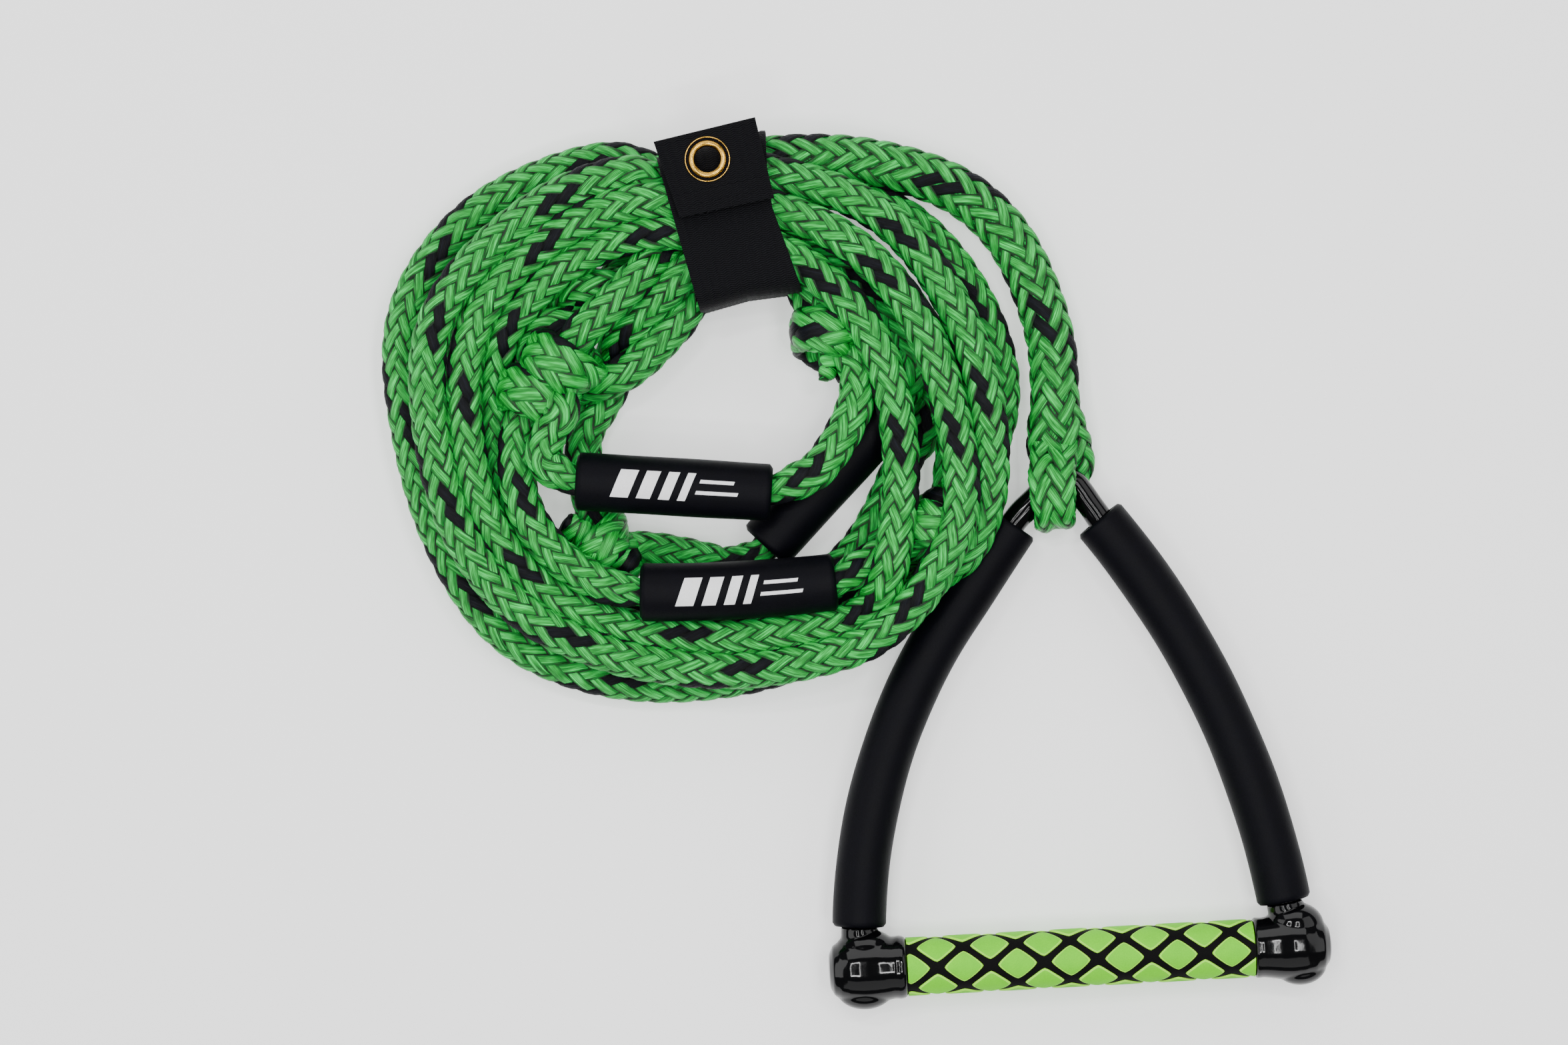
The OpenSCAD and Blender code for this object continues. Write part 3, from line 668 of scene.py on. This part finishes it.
route = relax(spline(whole_route(), 6))
line = spline(route[::2], 2.5)
half_w, half_h = section_at(line)
in_float = np.zeros(len(line), bool)
for float_name in FLOATS:
    start, end = float_axis(float_name)
    along = (end - start) / FLOAT_L
    t_on = (line - start) @ along
    off_axis = np.linalg.norm(line - start - t_on[:, None] * along, axis=1)
    in_float |= (t_on > 6) & (t_on < FLOAT_L - 6) & (off_axis < 4)
eye_groove = np.interp(lengths(line), EYE_FLAT, [STRAND_GROOVE, STRAND_GROOVE, 0])
rope_strands = braid("main_line", line, half_w, half_h, hidden=in_float, pieces=3, plain_until=PLAIN_UNTIL,
                     groove=eye_groove)
# A dark tube inside the hollow braid: its colour is painted shade for the gaps between the strands.
core_path = resample(line, 6)
core_w, core_h = section_at(core_path)
core_hidden = np.interp(lengths(core_path), lengths(line), in_float.astype(float)) > 0.99
core_w, core_h = [np.where(core_hidden, CORE_IN_FLOAT, half) for half in (core_w, core_h)]
core_groove = np.interp(lengths(core_path), EYE_FLAT, [CORE_GROOVE, CORE_GROOVE, 0])
core_verts, core_faces = tube(core_path, np.minimum(core_w - STRAND_T - CORE_GAP, CORE_MOST),
                              core_h - STRAND_T - CORE_GAP - core_groove)
rope_core_painted_shade = mesh_object("main_line_core", core_verts, core_faces, ROPE_CORE_SHADE, "main_line")
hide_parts("spliced_eye", "mainline_lead", "mainline_coil", "inner_line_1", "inner_line_2",
            "inner_line_3", "boat_loop")


def knot_path(at, radius, heading, turns, rise=15):
    """A stopper knot: the line wrapped round itself, side by side, about a level axis."""
    h = math.radians(heading)
    axis, level = np.array((math.cos(h), math.sin(h), 0)), np.array((-math.sin(h), math.cos(h), 0))
    t = np.linspace(-turns / 2, turns / 2, int(60 * turns))
    ang = 2 * math.pi * t + math.pi / 2
    tuck = np.clip(np.abs(t) - turns / 2 + 0.3, 0, 0.3) / 0.3
    r = radius * (1 - 0.75 * tuck ** 2)
    return (np.array(at, float) + axis * (rise * t)[:, None] + level * (r * np.cos(ang))[:, None]
            + np.array((0, 0, 1)) * (r * np.sin(ang))[:, None])


KNOT_WIDE, KNOT_FLAT = 1.62, 0.86  # the wraps' half width and half height, against half the line's width
knot_pieces = []
for knot_name, (at, size, heading, turns) in KNOTS.items():
    half = KNOT_W / 2 * size / 40
    wide, flat = half * KNOT_WIDE, half * KNOT_FLAT
    path = knot_path(at, size / 2 - flat, heading, turns)
    parts = braid(knot_name, path, np.full(len(path), wide), np.full(len(path), flat), lay=94, width=8.2,
                  step=1.6, rise=0.7)
    # The knot's core tube carries the same painted shade.
    v, f = tube(path, wide - STRAND_T, flat - STRAND_T)
    core = mesh_object(f"{knot_name}_core", v, f, ROPE_CORE_SHADE, "main_line")
    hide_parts(knot_name)
    knot_pieces += parts + [core]


# ---------------------------------------------------------------- foam floats and arms
def foam_tube(name, path, outer, bore, node, body, sides=64, round_r=2.2):
    """A foam tube with a true bore and softly rounded cut ends, slightly uneven as soft foam is."""
    path = resample(np.array(path, float), 1.6)
    total = lengths(path)[-1]
    s = lengths(path)
    t, side, up = frames_along(path)
    bend = np.gradient(np.unwrap(np.arctan2(t[:, 1], t[:, 0])), s)
    edge = np.minimum(s, total - s)
    drop = np.where(edge < round_r, round_r - np.sqrt(np.maximum(round_r ** 2 - (round_r - edge) ** 2, 0)), 0)
    outer_r = outer - drop + 0.12 * np.sin(s / 23) + 0.08 * np.sin(s / 9.0 + 1)
    inner_drop = np.where(edge < 1.0, 0.5 * (1 - edge), 0)
    ang = np.arange(sides) * 2 * math.pi / sides
    verts = []
    for r_all, squeeze in ((outer_r, 0.10), (bore + inner_drop, 0.0)):
        flat = 1 + squeeze * np.abs(bend)[:, None] * outer * np.sin(ang)[None] ** 2 * 0.2
        ring = (path[:, None] + side[:, None] * (np.cos(ang)[None, :, None] * r_all[:, None, None])
                + up[:, None] * (np.sin(ang)[None, :, None] * (r_all[:, None] * flat)[..., None]))
        verts.append(ring.reshape(-1, 3))
    n = len(path)
    faces = wall_faces(n, sides)
    m = n * sides
    faces += [tuple(v + m for v in f[::-1]) for f in faces]
    for i, flip in ((0, False), (n - 1, True)):
        for k in range(sides):
            a, b = i * sides + k, i * sides + (k + 1) % sides
            f = (a, a + m, b + m, b)
            faces.append(f[::-1] if flip else f)
    obj = mesh_object(name, np.vstack(verts), faces, FOAM, body)
    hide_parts(node)


def arc(centre, r, a0, a1, z, step=1.0):
    n = max(2, int(abs(a1 - a0) / step) + 1)
    return [(centre[0] + r * math.cos(math.radians(a)), centre[1] + r * math.sin(math.radians(a)), z)
            for a in np.linspace(a0, a1, n)]


def bowed_axis(name):
    start, end = float_axis(name)
    bow = FLOATS[name][2]
    u = (end - start) / FLOAT_L
    across = np.array((-u[1], u[0], 0))
    t = np.linspace(0, 1, 40)
    return start + u * FLOAT_L * t[:, None] + across * (4 * bow * t * (1 - t))[:, None]


def print_bar(path, x0, x1, y0, y1, slant):
    """A slanted bar printed on a float: a thin patch that follows the round surface."""
    s = lengths(path)
    side = frames_along(path)[1]
    verts, faces, nx, ny = [], [], 9, 15
    for j in range(ny):
        v = y0 + (y1 - y0) * j / (ny - 1)
        for i in range(nx):
            x = x0 + (x1 - x0) * i / (nx - 1) + slant * v
            c = np.array([np.interp(x, s, path[:, k]) for k in range(3)])
            sd = np.array([np.interp(x, s, side[:, k]) for k in range(3)])
            a = v / FLOAT_R
            lift = FLOAT_R + 0.12 * math.sin(x / 23) + 0.08 * math.sin(x / 9.0 + 1) + 0.1
            verts.append(c - sd * math.sin(a) * lift + np.array((0, 0, 1)) * math.cos(a) * lift)
    for j in range(ny - 1):
        for i in range(nx - 1):
            a = j * nx + i
            faces.append((a, a + 1, a + nx + 1, a + nx))
    return verts, faces


def print_mark(float_name):
    """A generic mark: four slanted bars that get narrower, then two thin lines."""
    path = bowed_axis(float_name)
    verts, faces = [], []
    bars = [(20, 29, -7, 7.5), (33, 40, -7, 7.5), (44, 49.5, -7, 7.5), (53.5, 57.5, -7, 7.5),
            (61, 82, -3.2, -1.4), (61, 78, 2.4, 4.2)]
    for x0, x1, y0, y1 in bars:
        v, f = print_bar(path, x0, x1, y0, y1, 0.35)
        faces += [tuple(i + len(verts) for i in face) for face in f]
        verts += v
    mesh_object(f"{float_name}_mark", verts, faces, PRINT_WHITE, float_name)


LEFT_C, LEFT_R, LEFT_END = (182, -110.5), 293, 143.6
RIGHT_C, RIGHT_R = (-321.2, -153.7), 430.4
PLANE_Z = 17
BAR_Y = -114
APEX_C, APEX_R = (4, 118.8), 9
SHEATH_R = 6.6
LEFT_STRAIGHT = 53.4               # the left arm's straight top
TURN_R = 40                        # the sheath's bend between the left arm and the apex
left_arc = arc(LEFT_C, LEFT_R, 176.4, LEFT_END, PLANE_Z)
left_heading = math.radians(LEFT_END - 90)
left_top = (left_arc[-1][0] + LEFT_STRAIGHT * math.cos(left_heading),
            left_arc[-1][1] + LEFT_STRAIGHT * math.sin(left_heading), PLANE_Z)
foam_tube("arm_foam_left", left_arc + [left_top], ARM_R, ARM_BORE, "arm_tube_left", "arm_left", round_r=1.1)
foam_tube("arm_foam_right", arc(RIGHT_C, RIGHT_R, 8.4, 37.2, PLANE_Z), ARM_R, ARM_BORE, "arm_tube_right",
          "arm_right", round_r=1.1)
for float_name in FLOATS:
    foam_tube(f"{float_name}_foam", bowed_axis(float_name), FLOAT_R, FLOAT_BORE, float_name, float_name)
print_mark("float_1")
print_mark("float_2")


# ---------------------------------------------------------------- bridle sheath and dipped caps
inward = math.radians(LEFT_END - 180)
turn_c = (left_top[0] + TURN_R * math.cos(inward), left_top[1] + TURN_R * math.sin(inward))
sheath_path = (arc(LEFT_C, LEFT_R, 178.4, LEFT_END, PLANE_Z)[:-1]
               + arc(turn_c, TURN_R, LEFT_END, LEFT_END - 11.9, PLANE_Z)
               + arc(APEX_C, APEX_R, 131.7, 37.4, PLANE_Z, 4)
               + arc(RIGHT_C, RIGHT_R, 37.4, 6.85, PLANE_Z)[1:])
sheath_path = resample(np.array(sheath_path), 1.5)
sheath_s = lengths(sheath_path)
ripple = 0.12 * np.sin(sheath_s / 5.3) * np.sin(sheath_s / 31.0 + 0.6) + 0.06 * np.sin(sheath_s / 2.1)
sheath_v, sheath_f = tube(sheath_path, SHEATH_R + ripple, SHEATH_R + ripple, sides=32)
sheath = mesh_object("sheath_cover", sheath_v, sheath_f, SHEATH, "handle")
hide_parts("bridle_sheath")


def oval_blob(centre, radii, rows=24, sides=32):
    verts = []
    for i in range(rows + 1):
        a = math.pi * i / rows
        for k in range(sides):
            b = 2 * math.pi * k / sides
            way = (math.sin(a) * math.cos(b), math.sin(a) * math.sin(b), math.cos(a))
            verts.append(tuple(c + r * w for c, r, w in zip(centre, radii, way)))
    return verts, wall_faces(rows + 1, sides, flipped=True)


def dipped_cap(name, node, profile, mirror, blobs, neck):
    """Bar end, rope knot and neck dipped in one thick skin: the pieces are joined, then smoothed together."""
    v, f = lathe(profile, 64)
    if mirror:
        v = v * (-1, 1, 1)
    v = v + (0, BAR_Y, PLANE_Z)
    verts, faces = [tuple(q) for q in v], list(f)
    parts = [oval_blob(c, r) for c, r in blobs]
    nv, nf = tube(resample(np.array(neck), 1.5), 9.3, 9.3, sides=40)
    parts.append(([tuple(q) for q in nv], nf))
    for pv, pf in parts:
        faces += [tuple(i + len(verts) for i in face) for face in pf]
        verts += [tuple(q) for q in pv]
    obj = mesh_object(name, verts, faces, DIPPED, "handle")
    remesh = obj.modifiers.new("skin", "REMESH")
    remesh.mode = "VOXEL"
    remesh.voxel_size = 0.7 * MM
    remesh.use_smooth_shade = True
    smooth = obj.modifiers.new("soften", "SMOOTH")
    smooth.factor = 0.5
    smooth.iterations = 7
    apply_modifiers(obj)
    obj.data.materials.clear()
    obj.data.materials.append(DIPPED)
    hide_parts(node)


# The caps' outlines: distance from the bar's axis, position along it
LEFT_PROFILE = [
    (0, 87.6), (14.4, 87.6), (15.6, 88.6), (16.1, 91), (15.7, 93.5), (16.3, 97), (16.9, 102), (17.1, 107),
    (16.9, 112), (16.2, 117), (14.9, 121), (12.6, 124.6), (8.6, 126.6), (4, 127), (0, 127)
]
RIGHT_PROFILE = [
    (0, 87.6), (14.4, 87.6), (15.4, 88.8), (15.1, 92), (15.7, 96), (16.6, 101), (17.1, 107), (16.7, 113),
    (15.4, 118.4), (12.8, 123), (8.6, 126), (4, 127), (0, 127)
]
dipped_cap("dipped_cap_left", "end_cap_left", LEFT_PROFILE, True,
           [((-109, -123.6, 17), (15, 10.9, 11.5)), ((-108, -105, 17.5), (16, 11.4, 13))],
           arc(LEFT_C, LEFT_R, 180, 176.5, PLANE_Z, 0.5))
dipped_cap("dipped_cap_right", "end_cap_right", RIGHT_PROFILE, False,
           [((111, -123.4, 17), (13.5, 10.6, 11)), ((109, -103.6, 17.5), (15, 12, 13))],
           arc(RIGHT_C, RIGHT_R, 5.3, 8.3, PLANE_Z, 0.5))


# ---------------------------------------------------------------- grip
GRIP_R, PAD_H, PAD_PITCH, PAD_ROWS, PAD_END = 14.8, 0.9, 26.9, 8, 87.4
PAD_HALF_X, PAD_HALF_Y = 10.8, 9.3
PAD_SHIFT = -5.3
PAD_POWER, PAD_LIMIT = 9, 1.06     # how softly a rhomb's corners are rounded, and how far they are cut
PAD_RIM = 4                        # the ring of a pad's faces where its lighter rim starts


def grip_pads():
    """Rows of pillowy rhombs with rounded corners; each has a lighter rim where it rounds off."""
    rings = [(0.0, 1.0), (0.3, 1.0), (0.6, 0.99), (0.8, 0.96), (0.9, 0.88), (0.96, 0.7), (1.0, 0.35),
             (1.02, -0.3)]
    sides = 48
    verts, faces, kinds = [], [], []
    for row in range(PAD_ROWS):
        for k in range(-4, 5):
            x_mid = PAD_SHIFT + (k + (row % 2) / 2) * PAD_PITCH
            if abs(x_mid) > PAD_END + PAD_HALF_X - 1.5:
                continue
            base = len(verts)
            for t, h in rings:
                for j in range(sides):
                    a = 2 * math.pi * j / sides
                    reach = (abs(math.cos(a)) + abs(math.sin(a))) ** PAD_POWER
                    size = (reach + PAD_LIMIT ** PAD_POWER) ** (-1 / PAD_POWER)
                    x = x_mid + PAD_HALF_X * size * math.cos(a) * t
                    x = max(-PAD_END, min(PAD_END, x))
                    angle = math.radians(row * 360 / PAD_ROWS) + PAD_HALF_Y * size * math.sin(a) * t / GRIP_R
                    r = GRIP_R - PAD_H + PAD_H * h
                    verts.append((x, BAR_Y - r * math.sin(angle), PLANE_Z + r * math.cos(angle)))
            walls = wall_faces(len(rings), sides, flipped=True)
            faces += [tuple(base + v for v in face) for face in walls]
            kinds += [int(i >= PAD_RIM * sides) for i in range(len(walls))]
    obj = mesh_object("grip_pad_rows", verts, faces, [GRIP_LIME, GRIP_RIM], "handle",
                      face_materials=kinds)
    clean(obj)
    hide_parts("grip_pads")


grip_pads()


# ---------------------------------------------------------------- strap and grommet
RIB_PITCH = 2.2


def strap_outline():
    """The band's closed outline in the plane of its length and height."""
    r, far, top = BAND_R, BAND_L - BAND_R, BAND_H - BAND_R
    points = []
    for (cx, cy), a0 in (((far, r), -90), ((far, top), 0), ((r, top), 90), ((r, r), 180)):
        for k in range(13):
            a = math.radians(a0 + k * 7.5)
            points.append((cx + r * math.cos(a), cy + r * math.sin(a), 0))
    points.append(points[0])
    return resample(np.array(points), 1.0)[:-1]


def strap_place(x, y, z, at, lean):
    """From the strap's own directions, across and along, to the frame's."""
    a = math.radians(lean)
    px = at[0] + x * math.cos(a) - y * math.sin(a)
    py = at[1] + x * math.sin(a) + y * math.cos(a)
    return np.stack([px, py, z], axis=-1)


def rib_height(x, y):
    """Ribs that run along the strap."""
    return 0.16 * np.abs(np.sin(math.pi * x / RIB_PITCH)) + 0.05 * np.sin(y * 2 * math.pi / 1.9)


def strap_band():
    """The band round the coil, with its right edge moved out at the far end and a little down."""
    outline = strap_outline()
    n = len(outline)
    normal = np.roll(outline, -1, 0) - np.roll(outline, 1, 0)
    normal = np.stack([normal[:, 1], -normal[:, 0]], axis=1)
    normal /= np.linalg.norm(normal, axis=1)[:, None]
    half = STRAP_W / 2
    across = np.concatenate([[-half], np.arange(-half + 0.35, half, 0.55), [half]])
    m = len(across)
    s = np.arange(n)[:, None] * np.ones(m)[None]
    x = np.ones(n)[:, None] * across[None]
    edge = np.minimum(half - np.abs(x), 1.0)
    right = np.clip(x / half, 0, 1)
    out = np.interp(outline[:, 0], [0, 42, 60, 80], [1.8, -1.2, 1.5, 6.0])[:, None] * right
    down = np.interp(outline[:, 0], [0, 42, 80], [4.0, 2.0, 1.5])[:, None] * right
    verts, uvs = [], []
    for thick, sign in ((0.0, 1), (1.0, -1)):
        off = rib_height(x, s) * sign - STRAP_T * thick - 0.35 * (1 - edge) * sign
        py = outline[:, 0][:, None] + normal[:, 0][:, None] * off
        pz = outline[:, 1][:, None] + normal[:, 1][:, None] * off
        px = x + out
        verts.append(strap_place(px, py - down, pz, STRAP_AT, STRAP_LEAN).reshape(-1, 3))
        uvs.append(np.stack([x / RIB_PITCH, s], axis=2).reshape(-1, 2))
    faces = []
    for i in range(n):
        j = (i + 1) % n
        faces += [(i * m + k, j * m + k, j * m + k + 1, i * m + k + 1) for k in range(m - 1)]
    outer_count = n * m
    faces += [tuple(v + outer_count for v in f[::-1]) for f in faces]
    for i in range(n):
        j = (i + 1) % n
        faces.append((i * m, i * m + outer_count, j * m + outer_count, j * m))
        faces.append((i * m + m - 1, j * m + m - 1, j * m + m - 1 + outer_count, i * m + m - 1 + outer_count))
    obj = mesh_object("strap_webbing", np.vstack(verts), faces, WEBBING, "main_line",
                      uvs=np.vstack(uvs))
    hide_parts("strap_band")


CREASE_AT, FLAP_LEAN, FLAP_L, FLAP_W = (-159.4, 271.0), 9, 44, 48
FLAP_Z = 52.4
FLAP_ROOT_X = 2.3                  # how far the root lies to the right
FLAP_SPREAD, FLAP_FREE_X = 3.6, -1.8    # how much the free edge is wider, and its shift
FLAP_TILT, FLAP_FREE_Y = 2.0, -4.8      # how much the free edge is tilted, and its shift
STITCH_ROWS, STITCH_DEPTH, STITCH_PITCH, STITCH_L = (5.5, 12.5), 0.28, 3.2, 2.2
GROMMET_AT = np.array((-165.5, 295.8))  # on the mount grommet_hole
GROMMET_HOLE_R, GROMMET_CUT_R = 6.4, 8.4


def strap_flap():
    """The flap over the band, with its fold, two rows of stitches and the hole for the grommet."""
    across = np.concatenate([[-FLAP_W / 2], np.arange(-FLAP_W / 2 + 0.3, FLAP_W / 2, 0.55), [FLAP_W / 2]])
    along = np.arange(0, FLAP_L + 0.01, 0.55)
    x, y = np.meshgrid(across, along)
    fold = 0.5 * np.exp(-((y - 1.2) / 1.2) ** 2) + 0.35 * np.exp(-((y - FLAP_L + 3.2) / 0.7) ** 2) * -1
    dash = np.mod(x, STITCH_PITCH) < STITCH_L
    stitch = sum(-STITCH_DEPTH * (np.abs(y - row) < 0.5) * dash for row in STITCH_ROWS)
    rim = np.minimum(np.minimum(FLAP_W / 2 - np.abs(x), np.minimum(y, FLAP_L - y)), 0.6)
    top = FLAP_Z + STRAP_T + rib_height(x, y) * 0.8 + fold + stitch - 0.5 * (0.6 - rim)
    low = np.full_like(top, FLAP_Z) + 0.35 * (0.6 - rim)
    right, up = x / FLAP_W + 0.5, y / FLAP_L
    centre = strap_place(x, y, np.zeros_like(x), CREASE_AT, FLAP_LEAN)
    centre[..., 0] += (1 - up) * FLAP_ROOT_X + up * (FLAP_SPREAD * right + FLAP_FREE_X)
    centre[..., 1] += up * (FLAP_TILT * right + FLAP_FREE_Y)
    hole = np.linalg.norm(centre[..., :2] - GROMMET_AT, axis=2) < GROMMET_CUT_R
    n, m = x.shape
    verts = np.vstack([np.dstack([centre[..., :2], z]).reshape(-1, 3) for z in (top, low)])
    uvs = np.tile(np.stack([x / RIB_PITCH, y], axis=2).reshape(-1, 2), (2, 1))
    faces, count = [], n * m
    keep = {}                      # the quads that stay, in order
    for j in range(n - 1):
        for i in range(m - 1):
            if hole[j, i] and hole[j + 1, i] and hole[j, i + 1] and hole[j + 1, i + 1]:
                continue
            keep[(j, i)] = True
            a = j * m + i
            faces.append((a, a + 1, a + m + 1, a + m))
            faces.append((a + count + m, a + count + m + 1, a + count + 1, a + count))
    quad_sides = ((-1, 0, 0, 1), (1, 0, m + 1, m), (0, -1, m, 0), (0, 1, 1, m + 1))
    for j, i in keep:
        a = j * m + i
        for dj, di, p, q in quad_sides:
            if (j + dj, i + di) not in keep:
                faces.append((a + p, a + p + count, a + q + count, a + q))
    obj = mesh_object("flap_webbing", verts, faces, WEBBING, "strap_flap", uvs=uvs)
    clean(obj)
    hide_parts("strap_flap")


def turned_z(name, profile, at, z, material, body, node):
    v, f = lathe(profile, 128)
    v = np.stack([v[:, 1], v[:, 2], v[:, 0]], axis=1) + (at[0], at[1], z)
    obj = mesh_object(name, v, f, material, body)
    clean(obj)
    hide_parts(node)


def bead(centre, radii, a0, a1, points):
    """A rounded bead of a turned profile."""
    return [(centre[0] + radii[0] * math.cos(a), centre[1] + radii[1] * math.sin(a))
            for a in np.linspace(a0, a1, points)]


strap_band()
strap_flap()
rim = [(GROMMET_HOLE_R, -0.9), (7.4, -0.9), (7.4, 0.9), (10.7, 1.0), (11.2, 1.4)]
rim += bead((11.0, 2.1), (0.36, 0.42), -0.5, math.pi + 0.5, 10)
rim += [(10.4, 1.4), (9.6, 1.2)]
rim += bead((7.95, 2.4), (1.4, 1.25), -0.9, math.pi + 0.3, 22)
rim += [(GROMMET_HOLE_R, 1.4)]
turned_z("grommet_rim", rim, GROMMET_AT, FLAP_Z, BRASS, "strap_flap", "grommet_front")
washer = rounded([(7.5, -1.0), (10.2, -1.0), (10.2, 0.0), (7.5, 0.0)], 0.3)
turned_z("grommet_washer", [(p[0], p[1]) for p in washer], GROMMET_AT, FLAP_Z, BRASS, "strap_flap",
         "grommet_back")

# Nodes whose own shape stays
KEPT_NODES = {
    "bar_tube": ALUMINIUM, "bar_plug_left": PLUG, "bar_plug_right": PLUG, "grip_sleeve": GRIP_BLACK,
    "bridle_rope": BRIDLE_CORE, "bridle_knot_left": BRIDLE_CORE, "bridle_knot_right": BRIDLE_CORE,
    "tail_sleeve": FOAM, "hook_patch": HOOKS, "loop_patch": HOOKS
}
for node, material in KEPT_NODES.items():
    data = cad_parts[node].data
    data.materials.clear()
    data.materials.append(material)


# ---------------------------------------------------------------- floor and light
def area_light(name, at, target, size, power):
    light = bpy.data.lights.new(name, "AREA")
    light.shape = "RECTANGLE"
    light.size, light.size_y = size
    light.energy = power
    obj = bpy.data.objects.new(name, light)
    obj.location = at
    obj.rotation_euler = (Vector(target) - Vector(at)).to_track_quat("-Z", "Y").to_euler()
    bpy.context.scene.collection.objects.link(obj)


def softbox_outline(name, centre, half, power):
    """A softbox that is bright at its rim: four narrow strips in a rectangle."""
    half_x, half_y = half
    for k, (dx, dy) in enumerate(((half_x, 0), (-half_x, 0), (0, half_y), (0, -half_y))):
        size = (0.03, 2 * half_y) if dx else (2 * half_x, 0.09)
        at = (centre[0] + dx, centre[1] + dy, centre[2])
        area_light(f"{name}_{k + 1}", at, (at[0], at[1], 0), size, power)


middle = (-0.12, 0.10, 0.0)
area_light("softbox_left", (-2.0, 0.35, 1.35), middle, (2.6, 1.5), 34)
area_light("softbox_right", (1.8, 0.35, 1.35), middle, (2.6, 1.5), 22)
area_light("softbox_back", (-0.1, 2.2, 1.35), middle, (2.8, 1.5), 34)
area_light("softbox_front", (-0.1, -2.0, 1.35), middle, (2.8, 1.5), 14)
softbox_outline("overhead_left", (-0.44, 0.05, 1.5), (0.15, 0.62), 4.5)
softbox_outline("overhead_right", (0.34, 0.05, 1.5), (0.12, 0.45), 3.2)

world = bpy.data.worlds.new("studio")
world.use_nodes = True
world.node_tree.nodes["Background"].inputs["Color"].default_value = (0.95, 0.97, 1.0, 1)
world.node_tree.nodes["Background"].inputs["Strength"].default_value = 0.12
bpy.context.scene.world = world

FLOOR_HALF = 6
floor_mesh = bpy.data.meshes.new("floor")
corners = [(-FLOOR_HALF, -FLOOR_HALF, 0), (FLOOR_HALF, -FLOOR_HALF, 0), (FLOOR_HALF, FLOOR_HALF, 0),
           (-FLOOR_HALF, FLOOR_HALF, 0)]
floor_mesh.from_pydata(corners, [], [(0, 1, 2, 3)])
floor_material, _, _, floor_shader = new_material("floor", (0.86, 0.86, 0.86), 0.8)
floor_shader.inputs["Emission Color"].default_value = (1, 1, 1, 1)
floor_shader.inputs["Emission Strength"].default_value = 0.5
floor_mesh.materials.append(floor_material)
floor = bpy.data.objects.new("floor", floor_mesh)
bpy.context.scene.collection.objects.link(floor)
